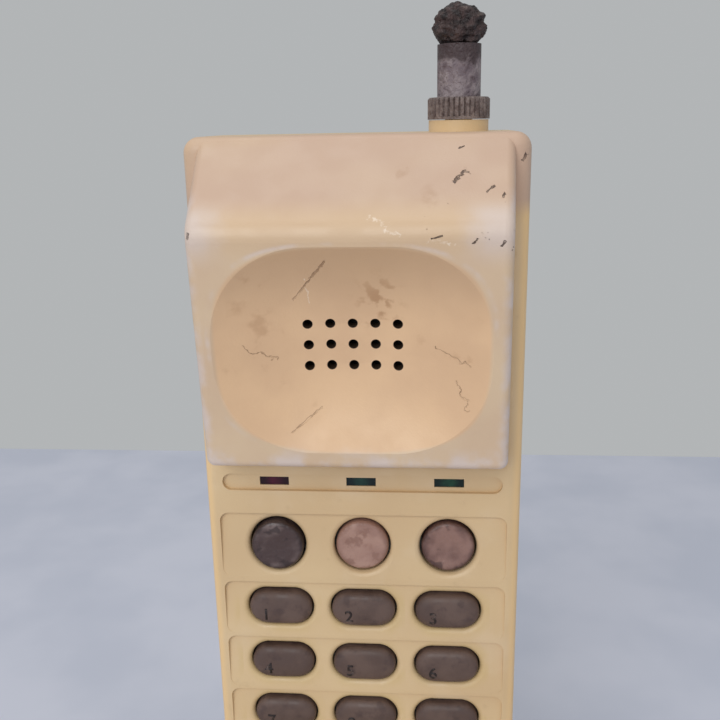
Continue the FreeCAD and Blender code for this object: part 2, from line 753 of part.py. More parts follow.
def microphone():
    x, z = "0 * 1", "case_length - mic_drop - sound_pitch / 2"
    start = "wall - mouth_out + 0.3"
    boot = cut(
        rod(x, start, z, 12, 4.4, ALONG_Y),
        rod(x, f"{start} - 1", z, 9.7, 4.2, ALONG_Y),
    )
    keep(boot, "microphone_boot", IN_HANDSET)
    keep(rod(x, f"{start} + 0.2", z, 9.6, 2.9, ALONG_Y), "microphone_capsule",
         (x, f"handset_y + {start} + 0.2", f"handset_z + {z}"))


def battery():
    """Three cells side by side, and the contact plates that join them."""
    low = "bay_low + ( bay_height - cell_length ) / 2"
    pitch = "cell_size + 0.4"
    middle = "bay_floor + 0.3 + cell_size / 2"
    cells_made = []
    plates = []
    for column, turned in zip(COLUMNS, (False, True, False)):
        x = f"{column} * ( {pitch} )"
        can = rod(x, middle, low if not turned else f"{low} + 1.6", "cell_size", "cell_length - 1.6")
        button = rod(x, middle, f"{low} + cell_length - 1.7" if not turned else low, 5.4, 1.7)
        cells_made.append(joined([can, button]))
        for end in (f"{low} - 0.9", f"{low} + cell_length + 0.2"):
            plates.append(block(x, middle, end, 11, 11, 0.7))
    keep(group(cells_made), "battery_cells", IN_HANDSET)
    keep(group(plates), "battery_contacts", IN_HANDSET)


def battery_cover():
    """The flat cover on the handset's back: it tilts out about the round bead along its top."""
    body = new_body("battery_cover", IN_HANDSET)
    middle = "bay_low + bay_height / 2"
    width, height = "bay_width + 4 - 2 * cover_gap", "bay_height + 4 - 2 * cover_gap"
    plate = sketch_on(body, "XZ", "0 - case_back")
    rectangle(plate, 0, f"( {middle} ) - cover_thick / 4", width, f"{height} - cover_thick / 2")
    feature("Pad", plate, "cover_thick")
    bead = sketch_on(body, "YZ")
    circle(bead, "case_back - cover_thick / 2",
           f"( {middle} ) + ( {height} ) / 2 - cover_thick / 2", "cover_thick")
    feature("Pad", bead, width, both_sides=True)
    # five grip ribs near the free end, and the snap tongue behind it
    ribs = sketch_on(body, "XZ", "0 - case_back")
    for line in range(5):
        rectangle(ribs, 0, f"bay_low + 4 + {line} * 2", 22, 0.9)
    feature("Pocket", ribs, "0.5", backwards=True)
    tongue = sketch_on(body, "XZ", "0 - case_back + cover_thick")
    rectangle(tongue, 0, "bay_low + 2", 9, 1.4)
    feature("Pad", tongue, "1.3")
    return body


def charge_plates():
    plates = []
    for side in (-1, 1):
        pad = block(f"{side} * contact_x", "contact_y", 0.2, 7, 6, "wall")
        flange = block(f"{side} * contact_x", "contact_y", "wall", 9.4, 8.4, 0.6)
        plates.append(joined([pad, flange]))
    return keep(group(plates), "handset_charge_contacts", IN_HANDSET)


def case_screws():
    screws = []
    for side, height in SCREW_PLACES:
        x = f"{side} * screw_x"
        head = rod(x, "case_back - 13", height, 4.1, 2, ALONG_Y)
        shank = rod(x, "seam_y - 3.8", height, 1.7, "case_back - 13 - seam_y + 4", ALONG_Y)
        cross = joined([
            block(x, "case_back - 11", f"{height} - 0.25", 2.4, 1.6, 0.5),
            block(x, "case_back - 11", f"{height} - 1.2", 0.5, 1.6, 2.4),
        ])
        screws.append(cut(joined([head, shank]), cross))
    return keep(group(screws), "handset_screws", IN_HANDSET)


# ------------------------------------------------------------------ handset antenna
def aerial():
    """The stub of the handset's antenna, from the brass bush in the case to the torn rubber."""
    x, y = "aerial_x", "aerial_y"
    base = "case_length + boss_height + 0.1"
    bush = cut(
        rod(x, y, "case_length - 10", 7.1, 11.6),
        rod(x, y, "case_length - 11", 5.1, 14),
    )
    keep(bush, "antenna_bush", IN_HANDSET)
    stud = joined([
        rod(x, y, "case_length - 9", 5, f"{base} + collar_height + 3 - case_length + 9"),
        rod(x, y, "case_length - 9.6", 3.6, 0.8),
    ])
    keep(stud, "antenna_stud", IN_HANDSET)
    body = new_body("antenna_collar", ("aerial_x", "handset_y + aerial_y", f"handset_z + {base}"))
    ring = circle(sketch_on(body, "XY"), 0, 0, "collar_size")
    circle(ring, 0, 0, 5.1)
    feature("Pad", ring, "collar_height")
    rim = value_of("collar_height")
    soften(body, "0.35", lambda p, e: near(p.z, rim) and e.Length > 20, kind="Chamfer")
    notch = sketch_on(body, "XY", "0.5")
    polygon(notch, [
        ("collar_size / 2 - 0.4", 0),
        ("collar_size / 2 + 0.3", "0 - 0.42"),
        ("collar_size / 2 + 0.3", "0.42"),
    ])
    flute = feature("Pocket", notch, "collar_height", backwards=True)
    doc.recompute()
    ribs = body.newObject("PartDesign::PolarPattern", "ribs")
    ribs.Originals = [flute]
    z_axis = next(f for f in body.Origin.OriginFeatures if f.Role == "Z_Axis")
    ribs.Axis = (z_axis, [""])
    ribs.Angle = 360
    ribs.Occurrences = 36
    body.Tip = ribs
    core = cut(
        rod(x, y, f"{base} + collar_height", "core_size", "core_height"),
        rod(x, y, f"{base} + collar_height - 1", 5.1, 4.2),
    )
    keep(core, "antenna_core", IN_HANDSET)
    # what is left of the rubber sleeve: a ragged plug swollen over the top of the core
    low = f"{base} + collar_height + core_height"
    lumps = [solid("Cone", {"Radius1": "core_size / 2 + 0.1", "Radius2": "sleeve_size / 2",
                            "Height": "sleeve_height * 0.4"}, (x, y, low)),
             solid("Cone", {"Radius1": "sleeve_size / 2", "Radius2": "sleeve_size / 2 - 1.7",
                            "Height": "sleeve_height * 0.6"}, (x, y, f"{low} + sleeve_height * 0.4"))]
    keep(joined(lumps), "antenna_sleeve", IN_HANDSET)


# ------------------------------------------------------------------ base: shell and well
WELL_BACK = "( handset_y + case_back + well_gap )"
WELL_FRONT = "( handset_y - mouth_out - well_gap )"
WELL_STEP = "( handset_y - panel_out - well_gap )"
WELL_FLOOR = "( handset_z - well_drop )"
DECK_FRONT = "( 4 - base_depth / 2 )"  # y where the deck starts to rise
DECK_BACK = "( handset_y - 12 )"  # y where the deck reaches its full height
DECK_SLOPE = f"( ( deck_high - deck_low ) / ( {DECK_BACK} - {DECK_FRONT} ) )"


def deck_z(y):
    """Height of the sloping deck at y."""
    return f"( deck_low + ( {y} - {DECK_FRONT} ) * {DECK_SLOPE} )"


def well_outline(sketch, grow):
    """The plan of the well: as wide as the handset, narrower in front for its mouth block."""
    wide = f"case_width / 2 + well_gap + {grow}"
    slim = f"mouth_width / 2 + well_gap + {grow}"
    back, step, front = f"{WELL_BACK} + {grow}", f"{WELL_STEP} - {grow}", f"{WELL_FRONT} - {grow}"
    return polygon(sketch, [
        (wide, back), (f"0 - ( {wide} )", back), (f"0 - ( {wide} )", step),
        (f"0 - ( {slim} )", step), (f"0 - ( {slim} )", front), (slim, front),
        (slim, step), (wide, step),
    ])


def base_shell():
    """The cream top moulding of the base: sloping deck, handset well, back rest, antenna ledge."""
    body = new_body("base_top_shell")
    rear = "base_depth / 2"
    side = [
        ("0 - base_depth / 2", "base_rim"), ("0 - base_depth / 2", "nose_height"),
        (DECK_FRONT, "deck_low"), (DECK_BACK, "deck_high"),
        ("ledge_y", "deck_high"), ("ledge_y", "ledge_height"),
        (rear, "ledge_height"), (rear, "base_rim"),
    ]
    feature("Pad", polygon(sketch_on(body, "YZ"), side), "base_width", both_sides=True)
    half, back, front = value_of("base_width / 2"), value_of(rear), -value_of(rear)
    rim = value_of("base_rim")
    soften(body, "5.6", lambda p, e: near(abs(p.x), half) and (near(p.y, back) or near(p.y, front))
           and abs(e.tangentAt(e.FirstParameter).z) > 0.9)
    soften(body, "2.2", lambda p, e: p.z > rim + 0.3 and not (near(p.y, value_of("ledge_y"))
           and p.z < value_of("deck_high") - 0.3) and upper_edge(p, e))

    inner = [
        ("base_wall - base_depth / 2", "base_rim - 1"), ("base_wall - base_depth / 2", "nose_height - 1"),
        (f"{DECK_FRONT} + 1", "deck_low - base_wall"), (DECK_BACK, "deck_high - base_wall"),
        ("ledge_y - base_wall", "deck_high - base_wall"), ("ledge_y - base_wall", "ledge_height - base_wall"),
        (f"{rear} - base_wall", "ledge_height - base_wall"), (f"{rear} - base_wall", "base_rim - 1"),
    ]
    inside = feature("Pocket", polygon(sketch_on(body, "YZ"), inner), "base_width - 2 * base_wall",
                     both_sides=True)
    inside.Label = "base_hollow"
    corner_fill(body)

    # the back rest stands behind the handset
    rest = [
        (f"{WELL_BACK} + 0.4", "deck_high - 2"), (f"{WELL_BACK} + 0.4", "rest_top"),
        (f"{WELL_BACK} + 3.4", "rest_top"), (f"{WELL_BACK} + 7.4", "deck_high - 2"),
    ]
    feature("Pad", polygon(sketch_on(body, "YZ"), rest), "rest_width", both_sides=True)
    rest_top, rest_half = value_of("rest_top"), value_of("rest_width / 2")
    soften(body, "7", lambda p, e: near(p.z, rest_top) and near(abs(p.x), rest_half))
    soften(body, "1", lambda p, e: p.z > value_of("deck_high") + 0.5)
    rest_hollow = [
        (f"{WELL_BACK} + 2.2", "deck_high - 3"), (f"{WELL_BACK} + 2.2", "rest_top - 9"),
        (f"{WELL_BACK} + 3", "rest_top - 9"), (f"{WELL_BACK} + 5.6", "deck_high - 3"),
    ]
    feature("Pocket", polygon(sketch_on(body, "YZ"), rest_hollow), "rest_width - 14", both_sides=True)

    well = well_outline(sketch_on(body, "XY", f"{WELL_FLOOR} - 2"), 2)
    feature("Pad", well, f"deck_high - 1.5 - {WELL_FLOOR}")
    opening = well_outline(sketch_on(body, "XY", WELL_FLOOR), 0)
    feature("Pocket", opening, "60", backwards=True)
    pins = sketch_on(body, "XY", WELL_FLOOR)
    for side_sign in (-1, 1):
        circle(pins, f"{side_sign} * contact_x", "handset_y + contact_y", "pin_size + 0.4")
    feature("Pocket", pins, "4")
    deck_openings(body)
    back_openings(body)
    return body


def upper_edge(point, edge):
    """True for the outer edges of the deck and plateau that a hand would feel."""
    half = value_of("base_width / 2")
    return near(abs(point.x), half) or abs(point.y) > value_of("base_depth / 2") - 4.2 or (
        near(point.z, value_of("deck_high")) and point.y > value_of("ledge_y") - 0.1)


def corner_fill(body):
    """Four screw towers that stand in the base's corners."""
    towers = sketch_on(body, "XY", "base_rim + 2.1")
    for x in (-1, 1):
        for y in (-1, 1):
            circle(towers, f"{x} * ( foot_x )", f"{y} * ( foot_y - 9 )", 7)
    feature("Pad", towers, "nose_height - 2")
    pilots = sketch_on(body, "XY", "base_rim + 2.1")
    for x in (-1, 1):
        for y in (-1, 1):
            circle(pilots, f"{x} * ( foot_x )", f"{y} * ( foot_y - 9 )", 2.2)
    feature("Pocket", pilots, "10", backwards=True)


def deck_sketch(body, y, out):
    """A sketch parallel to the sloping deck, through the deck's point at y, raised by out."""
    angle = f"atan( {DECK_SLOPE} )"
    return sketch_on(
        body, "XY",
        shift=f"{deck_z(y)} + ( {out} ) * cos( {angle} )",
        lift=f"( {y} ) - ( {out} ) * sin( {angle} )",
        tilt=angle,
    )


def deck_openings(body):
    """The page button's hole, two indicator windows in a groove, and the ringer's slots."""
    groove = lozenge(deck_sketch(body, "base_lamp_y", 0), 0, 0, 46, "lamp_groove_height")
    feature("Pocket", groove, "lamp_groove_depth")
    windows = deck_sketch(body, "base_lamp_y", 0)
    for side in (-1, 1):
        rectangle(windows, f"{side} * lamp_pitch", 0, "lamp_width", "lamp_height")
    feature("Pocket", windows, "base_wall + 1")
    hole = circle(deck_sketch(body, "page_y", 0), 0, 0, "page_size + 0.8")
    feature("Pocket", hole, "base_wall + 1.5")
    slots = deck_sketch(body, "0 - 44", 0)
    for line in range(-2, 3):
        lozenge(slots, 0, f"{line} * 2.6", 30, 1.1)
    feature("Pocket", slots, "base_wall + 1.5")


def back_openings(body):
    """Windows for the two sockets in the back wall, and the seat of the antenna bracket."""
    windows = sketch_on(body, "XZ", "0 - base_depth / 2")
    rectangle(windows, "line_x", "socket_z", 15.4, 13.4)
    circle(windows, "power_x", "socket_z", 9.4)
    feature("Pocket", windows, "base_wall + 1", backwards=True)
    seat = sketch_on(body, "XY", "ledge_height")
    rectangle(seat, "mast_pivot_x", "mast_y", 7.2, 9.2)
    feature("Pocket", seat, "0.6")


# ------------------------------------------------------------------ base: other pieces
def base_bottom():
    """The flat bottom plate, with the heads of the four base screws let into it."""
    body = new_body("base_bottom_plate")
    plate = sketch_on(body, "XY", "base_rim - 0.4")
    inset = "2 * ( base_wall + 0.3 )"
    rounded(plate, 0, 0, f"base_width - {inset}", f"base_depth - {inset}", 0.8)
    feature("Pad", plate, "2")
    holes = sketch_on(body, "XY", "base_rim - 0.4")
    for x in (-1, 1):
        for y in (-1, 1):
            circle(holes, f"{x} * foot_x", f"{y} * ( foot_y - 9 )", 3)
    feature("Pocket", holes, "3", backwards=True)
    posts = sketch_on(body, "XY", "base_rim + 1.6")
    for x in (-1, 1):
        for y in (-20, 18):
            circle(posts, f"{x} * 29", f"page_y + {y}", 5)
    feature("Pad", posts, "7 - base_rim - 1.6")
    return body


def base_small_parts():
    feet, screws = [], []
    for x in (-1, 1):
        for y in (-1, 1):
            feet.append(solid("Cone", {"Radius1": "foot_size / 2 - 0.5", "Radius2": "foot_size / 2",
                                       "Height": "base_rim - 0.4"}, (f"{x} * foot_x", f"{y} * foot_y", 0)))
            place = (f"{x} * foot_x", f"{y} * ( foot_y - 9 )")
            head = rod(*place, "base_rim - 2", 5, 1.6)
            slot = block(*place, "base_rim - 2.1", 3.2, 0.8, 0.8)
            screws.append(cut(joined([head, rod(*place, "base_rim - 0.4", 2.1, 10)]), slot))
    keep(group(feet), "base_feet")
    keep(group(screws), "base_screws")
    board = block(0, "page_y - 1", 7, 66, 46, "board_thick")
    keep(board, "base_circuit_board")
    top = "7 + board_thick"
    angle = f"atan( {DECK_SLOPE} )"
    parts = [
        block(-22, "page_y + 10", top, 14, 10, 6),
        block(20, "page_y - 2", top, 12, 16, 3),
        block(0, "page_y + 3.1", top, 6, 6, 5.2),
    ]
    for side in (-1, 1):
        parts.append(block(f"{side} * lamp_pitch", "base_lamp_y + 2.2", top, 4.6, 2,
                           f"{deck_z('base_lamp_y')} - base_wall - 1.6 - ( {top} )"))
    keep(group(parts), "base_board_components")
    keep(rod(0, "0 - 44", top, 20, 5), "base_ringer")
    for name, side in (("base_power_lens", -1), ("base_charge_lens", 1)):
        pane = solid("Box", {"Length": "lamp_width - 0.1", "Width": "lamp_height - 0.1",
                             "Height": "base_wall - lamp_groove_depth - 0.2"},
                     turn=((1, 0, 0), 1))
        bind(pane, "Placement.Rotation.Angle", angle)
        sink, rise = "( base_wall - 0.1 )", "( lamp_height / 2 - 0.05 )"
        keep(pane, name, (
            f"{side} * lamp_pitch - lamp_width / 2 + 0.05",
            f"base_lamp_y - {rise} * cos( {angle} ) + {sink} * sin( {angle} )",
            f"{deck_z('base_lamp_y')} - {rise} * sin( {angle} ) - {sink} * cos( {angle} )",
        ))


def page_button():
    """The round call button on the deck: cap, flange, and a stem that ends above its switch."""
    angle = f"atan( {DECK_SLOPE} )"
    body = new_body("base_page_button", ("0 * 1", "page_y", deck_z("page_y")))
    body.Placement = Placement(body.Placement.Base, Rotation(Vector(1, 0, 0), 1))
    bind(body, "Placement.Rotation.Angle", angle)
    cap = circle(sketch_on(body, "XY", "0 - base_wall - 0.3"), 0, 0, "page_size")
    feature("Pad", cap, "base_wall + 1.9")
    crown = value_of("1.6")
    soften(body, "1", lambda p, e: near(p.z, crown))
    flange = circle(sketch_on(body, "XY", "0 - base_wall - 0.3"), 0, 0, "page_size + 3")
    feature("Pad", flange, "1.2", backwards=True)
    stem = circle(sketch_on(body, "XY", "0 - base_wall - 1.4"), 0, 0, 3.4)
    feature("Pad", stem, "8.2", backwards=True)
    return body


def sockets():
    """The modular line socket and the round power socket, both opening through the back wall."""
    rear = "base_depth / 2"
    body = new_body("line_socket")
    shell = sketch_on(body, "XZ", f"0 - {rear}")
    rectangle(shell, "line_x", "socket_z", 15, 13)
    feature("Pad", shell, "16")
    mouth = sketch_on(body, "XZ", f"0 - {rear}")
    rectangle(mouth, "line_x", "socket_z + 0.6", 9.8, 6.8)
    feature("Pocket", mouth, "13", backwards=True)
    latch = sketch_on(body, "XZ", f"0 - {rear}")
    rectangle(latch, "line_x", "socket_z - 3.6", 4, 3)
    feature("Pocket", latch, "10", backwards=True)
    wires = [
        solid("Box", {"Length": "0.5", "Width": "8", "Height": "0.5"},
              (f"line_x + {x} * 1.27 - 0.25", f"{rear} - 12.9", "socket_z + 3.4"))
        for x in (-1.5, -0.5, 0.5, 1.5)
    ]
    keep(group(wires), "line_socket_wires")
    barrel = cut(
        rod("power_x", f"{rear} - 14", "socket_z", 9, 14, ALONG_Y),
        rod("power_x", f"{rear} - 12", "socket_z", "power_bore", 13, ALONG_Y),
    )
    keep(barrel, "power_socket")


def charge_pins():
    """Two sprung pins in the well's floor, their springs as plain sleeves, and the brass strip below."""
    strips = []
    for name, side in (("left", -1), ("right", 1)):
        x, y = f"{side} * contact_x", "handset_y + contact_y"
        tip = "handset_z + 0.15"
        pin = joined([
            rod(x, y, f"{tip} - 3.2", "pin_size", 3.2),
            rod(x, y, f"{tip} - 3.4", 1.2, 0.4),
        ])
        keep(pin, f"charge_pin_{name}")
        strips.append(block(x, f"{y} - 20", "base_rim + 1.6", 4, 46, 0.3))
        spring = cut(rod(0, 0, 0, 2.6, 2.2), rod(0, 0, "0 - 1", 1.9, 5))
        keep(spring, f"charge_spring_{name}", (x, y, "base_rim + 2.1"))
    keep(group(strips), "charge_strips")


def base_mast():
    """The base antenna: a bracket on the ledge and three telescoping tubes folded along it."""
    x, y, z = "mast_pivot_x", "mast_y", "mast_z"
    cheeks = [block(x, f"{y} + {side} * 3.6", "ledge_height + 0.2", 7, 1.6, 7.6) for side in (-1, 1)]
    foot = block(x, y, "ledge_height - 0.5", 7, 8.8, 0.9)
    axle = rod(x, f"{y} - 4.4", z, 2.2, 8.8, ALONG_Y)
    keep(joined(cheeks + [foot, axle]), "base_antenna_bracket")
    hub = cut(
        joined([
            rod(x, f"{y} - 2.6", z, 6, 5.2, ALONG_Y),
            rod(x, y, z, "mast_size", "mast_length", ((0, 1, 0), -90)),
        ]),
        rod(x, f"{y} - 3", z, 2.3, 6, ALONG_Y),
        rod(f"{x} - 8", y, z, "mast_mid_size + 0.2", "mast_length", ((0, 1, 0), -90)),
    )
    keep(hub, "base_antenna_lower")
    middle = cut(
        rod(f"{x} - 9", y, z, "mast_mid_size", "mast_length - 7", ((0, 1, 0), -90)),
        rod(f"{x} - 11", y, z, "mast_top_size + 0.2", "mast_length", ((0, 1, 0), -90)),
    )
    keep(middle, "base_antenna_middle")
    top = joined([
        rod(f"{x} - 12", y, z, "mast_top_size", "mast_length - 8", ((0, 1, 0), -90)),
        rod(f"{x} - mast_length - 3.2", y, z, "mast_size", 4, ((0, 1, 0), -90)),
    ])
    keep(top, "base_antenna_upper")


# ------------------------------------------------------------------ assembly
front_shell()
rear_shell()
KEY_NAMES = ["1", "2", "3", "4", "5", "6", "7", "8", "9", "star", "0", "hash"]
for number, key_name in enumerate(KEY_NAMES):
    digit_key(f"key_{key_name}", COLUMNS[number % 3], number // 3)
for button_name, button_column, out in zip(("left", "middle", "right"), COLUMNS, (0.3, -0.5, -0.5)):
    round_button(f"round_button_{button_name}", button_column, out)
key_mat()
circuit_board()
board_parts()
for lens_name, lens_column in zip(("red_left", "green_middle", "green_right"), COLUMNS):
    lamp_lens(f"lamp_lens_{lens_name}", lens_column)
earpiece()
microphone()
battery()
battery_cover()
charge_plates()
case_screws()
aerial()
base_shell()
base_bottom()
base_small_parts()
page_button()
sockets()
charge_pins()
base_mast()
doc.recompute()


# ------------------------------------------------------------------ checks and files
failed = [o.Name for o in doc.Objects if "Invalid" in o.State or "Error" in o.State]
if failed:
    raise SystemExit(f"these objects did not recompute: {failed}")
os.makedirs("parts", exist_ok=True)
for name, item in nodes.items():
    shape = item.Shape
    if shape.isNull() or not shape.isValid() or not shape.Solids:
        raise SystemExit(f"{name} has no valid solid")
for name, item in nodes.items():
    item.Shape.exportStep(f"parts/{name}.step")
    box = item.Shape.BoundBox
    print(f"{name}: {len(item.Shape.Solids)} solid, {item.Shape.Volume:.0f} mm3, "
          f"x {box.XMin:.1f} {box.XMax:.1f} y {box.YMin:.1f} {box.YMax:.1f} z {box.ZMin:.1f} {box.ZMax:.1f}")
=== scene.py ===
import math

import bmesh
import bpy
import numpy as np
from mathutils import Matrix, Vector


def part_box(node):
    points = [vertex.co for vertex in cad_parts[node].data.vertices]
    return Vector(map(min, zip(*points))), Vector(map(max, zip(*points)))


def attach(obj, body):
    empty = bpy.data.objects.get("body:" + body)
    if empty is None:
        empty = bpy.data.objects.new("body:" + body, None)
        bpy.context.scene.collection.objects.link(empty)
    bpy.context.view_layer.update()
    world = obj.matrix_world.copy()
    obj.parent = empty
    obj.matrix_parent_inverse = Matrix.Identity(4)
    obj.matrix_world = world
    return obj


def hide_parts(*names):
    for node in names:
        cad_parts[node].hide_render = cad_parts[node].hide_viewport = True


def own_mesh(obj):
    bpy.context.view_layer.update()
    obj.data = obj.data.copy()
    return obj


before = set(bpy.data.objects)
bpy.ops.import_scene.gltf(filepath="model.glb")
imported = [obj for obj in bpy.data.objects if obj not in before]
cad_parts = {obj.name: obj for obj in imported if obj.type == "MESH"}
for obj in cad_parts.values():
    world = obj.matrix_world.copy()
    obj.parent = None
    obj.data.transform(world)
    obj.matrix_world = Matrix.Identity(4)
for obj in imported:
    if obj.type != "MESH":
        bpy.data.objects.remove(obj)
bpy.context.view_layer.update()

scene = bpy.context.scene

# ---------------------------------------------------------------- camera
# The lens is held close in front of the ear block, a little above the handset's top, tilted down and
# turned a few degrees, so that the case narrows towards its lower end.
MM = 0.001
case_low, case_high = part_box("handset_front_shell")
SEAM_TO_WALL = 3 * MM
eye_distance = 152.6 * MM
eye_above_top = 2.0 * MM
look_down, look_round, head_tilt = math.radians(15.6), math.radians(4.87), math.radians(-1.15)

turn = Matrix.Rotation(look_round, 3, "Z")
forward = turn @ Vector((0, math.cos(look_down), -math.sin(look_down)))
level_right = turn @ Vector((1, 0, 0))
level_up = turn @ Vector((0, math.sin(look_down), math.cos(look_down)))
right = math.cos(head_tilt) * level_right + math.sin(head_tilt) * level_up
up = math.cos(head_tilt) * level_up - math.sin(head_tilt) * level_right
wall_start = Vector((0, case_high.y - SEAM_TO_WALL, case_high.z))
eye = wall_start + turn @ Vector((0, -eye_distance, eye_above_top))

lens = bpy.data.cameras.new("camera")
lens.lens = 42.66
lens.sensor_width = 36
lens.clip_start = 0.01
camera = bpy.data.objects.new("camera", lens)
axes = Matrix((right, up, -forward)).transposed().to_4x4()
camera.matrix_world = Matrix.Translation(eye) @ axes
scene.collection.objects.link(camera)
scene.camera = camera
scene.view_settings.view_transform = "Standard"

# ---------------------------------------------------------------- floor and light
# A pale table top that ends a hand's width behind the telephone, a plain grey surround, a broad
# ceiling light and a softer one from the front left.
TABLE_END = 0.342
TABLE_REACH = 1.6
SHARP_EDGE = math.radians(40)


class Strand:
    """A value running through a material's nodes: arithmetic on it adds Math nodes."""

    def __init__(self, paint, socket):
        self.paint = paint
        self.socket = socket

    def _math(self, operation, *values):
        return self.paint.add("ShaderNodeMath", {"operation": operation}, dict(enumerate(values)))

    def __add__(self, other):
        return self._math("ADD", self, other)

    __radd__ = __add__

    def __sub__(self, other):
        return self._math("SUBTRACT", self, other)

    def __rsub__(self, other):
        return self._math("SUBTRACT", other, self)

    def __mul__(self, other):
        return self._math("MULTIPLY", self, other)

    __rmul__ = __mul__

    def __pow__(self, other):
        return self._math("POWER", self, other)

    def __mod__(self, other):
        return self._math("FLOORED_MODULO", self, other)

    def __abs__(self):
        return self._math("ABSOLUTE", self)

    def __and__(self, other):
        return self._math("MINIMUM", self, other)

    def __or__(self, other):
        return self._math("MAXIMUM", self, other)


class Paint:
    """One material; add() is the only way a node gets into it."""

    def __init__(self, name, **finish):
        self.material = bpy.data.materials.new(name)
        self.material.use_nodes = True
        self.tree = self.material.node_tree
        self.skin = self.tree.nodes["Principled BSDF"]
        for socket, value in finish.items():
            self.skin.inputs[socket.replace("_", " ")].default_value = value
        metres = self.add("ShaderNodeTexCoord", out="Object")
        scale = {"operation": "SCALE"}
        self.place = self.add("ShaderNodeVectorMath", scale, {0: metres, 3: 1 / MM})
        self.x, self.y, self.z = (
            self.add("ShaderNodeSeparateXYZ", inputs={0: self.place}, out=axis) for axis in range(3)
        )

    def add(self, kind, settings=None, inputs=None, out=0):
        node = self.tree.nodes.new(kind)
        for name, value in (settings or {}).items():
            setattr(node, name, value)
        for socket, value in (inputs or {}).items():
            if isinstance(value, Strand):
                self.tree.links.new(value.socket, node.inputs[socket])
            else:
                node.inputs[socket].default_value = value
        return Strand(self, node.outputs[out])

    def ramp(self, value, low, high):
        """0 below low, 1 above high and a soft step between; low may be the larger one."""
        settings = {"interpolation_type": "SMOOTHSTEP"}
        return self.add("ShaderNodeMapRange", settings, {"Value": value, "From Min": low, "From Max": high})

    def cloud(self, size, detail=3.0, low=0.35, high=0.65, stretch=None):
        """Soft blotches about size millimetres across, from 0 to 1."""
        where = self.place
        if stretch:
            where = self.add("ShaderNodeMapping", inputs={"Vector": where, "Scale": stretch})
        speck = self.add("ShaderNodeTexNoise", inputs={"Vector": where, "Scale": 1 / size, "Detail": detail})
        return self.ramp(speck, low, high)

    def mix(self, first, second, share):
        settings = {"data_type": "RGBA"}
        return self.add("ShaderNodeMix", settings, {0: share, 6: first, 7: second}, out=2)

    def wire(self, socket, strand):
        self.tree.links.new(strand.socket, self.skin.inputs[socket])

    def relief(self, height, depth):
        """Bumps of the given depth in millimetres where height goes from 0 to 1."""
        bump = self.add("ShaderNodeBump", inputs={"Height": height, "Strength": 1.0, "Distance": depth * MM})
        self.wire("Normal", bump)


def shade(red, green, blue):
    """A colour as seen on a swatch, 0 to 1, made linear."""
    return tuple(((c + 0.055) / 1.055) ** 2.4 if c > 0.04 else c / 12.92 for c in (red, green, blue)) + (1.0,)


def grid_mesh(name, points, closed_u=False, closed_v=False, paint=None):
    """A mesh over a (rows, columns, 3) array of points in metres, one quad between neighbours; a row
    whose points all coincide becomes one point."""
    rows, columns = points.shape[:2]
    index = np.arange(rows * columns).reshape(rows, columns)
    if closed_u:
        index = np.vstack([index, index[:1]])
    if closed_v:
        index = np.hstack([index, index[:, :1]])
    quads = np.stack([index[:-1, :-1], index[:-1, 1:], index[1:, 1:], index[1:, :-1]], axis=-1)
    mesh = bpy.data.meshes.new(name)
    mesh.from_pydata(points.reshape(-1, 3).tolist(), [], quads.reshape(-1, 4).tolist())
    shell = bmesh.new()
    shell.from_mesh(mesh)
    bmesh.ops.remove_doubles(shell, verts=shell.verts, dist=1e-7)
    bmesh.ops.recalc_face_normals(shell, faces=shell.faces)
    shell.to_mesh(mesh)
    shell.free()
    mesh.polygons.foreach_set("use_smooth", [True] * len(mesh.polygons))
    mesh.set_sharp_from_angle(angle=SHARP_EDGE)
    piece = bpy.data.objects.new(name, mesh)
    scene.collection.objects.link(piece)
    if paint:
        mesh.materials.append(paint.material)
    return piece


corner_x = np.array([-TABLE_REACH, TABLE_REACH])
corner_y = np.array([-TABLE_REACH, TABLE_END])
table_points = np.stack([*np.meshgrid(corner_x, corner_y), np.zeros((2, 2))], axis=-1)
table_paint = Paint("table_top", Roughness=0.55)
table_tint = table_paint.mix(shade(0.74, 0.755, 0.81), shade(0.78, 0.79, 0.84), table_paint.cloud(60))
table_paint.wire("Base Color", table_tint)
table = grid_mesh("table", table_points, paint=table_paint)

world = bpy.data.worlds.new("surround")
scene.world = world
world.use_nodes = True
surround = world.node_tree.nodes["Background"]
surround.inputs["Color"].default_value = shade(0.70, 0.71, 0.715)
surround.inputs["Strength"].default_value = 1.0

for lamp_name, lamp_at, lamp_size, lamp_power in (
    ("ceiling_light", Vector((-0.15, 0.05, 1.3)), 1.0, 4.2),
    ("front_light", Vector((-0.30, -1.1, 0.75)), 0.9, 8.8),
):
    lamp = bpy.data.lights.new(lamp_name, "AREA")
    lamp.size = lamp_size
    lamp.energy = lamp_power
    holder = bpy.data.objects.new(lamp_name, lamp)
    aim = (Vector((0, 0, 0.1)) - lamp_at).to_track_quat("-Z", "Y")
    holder.matrix_world = Matrix.LocRotScale(lamp_at, aim, None)
    scene.collection.objects.link(holder)

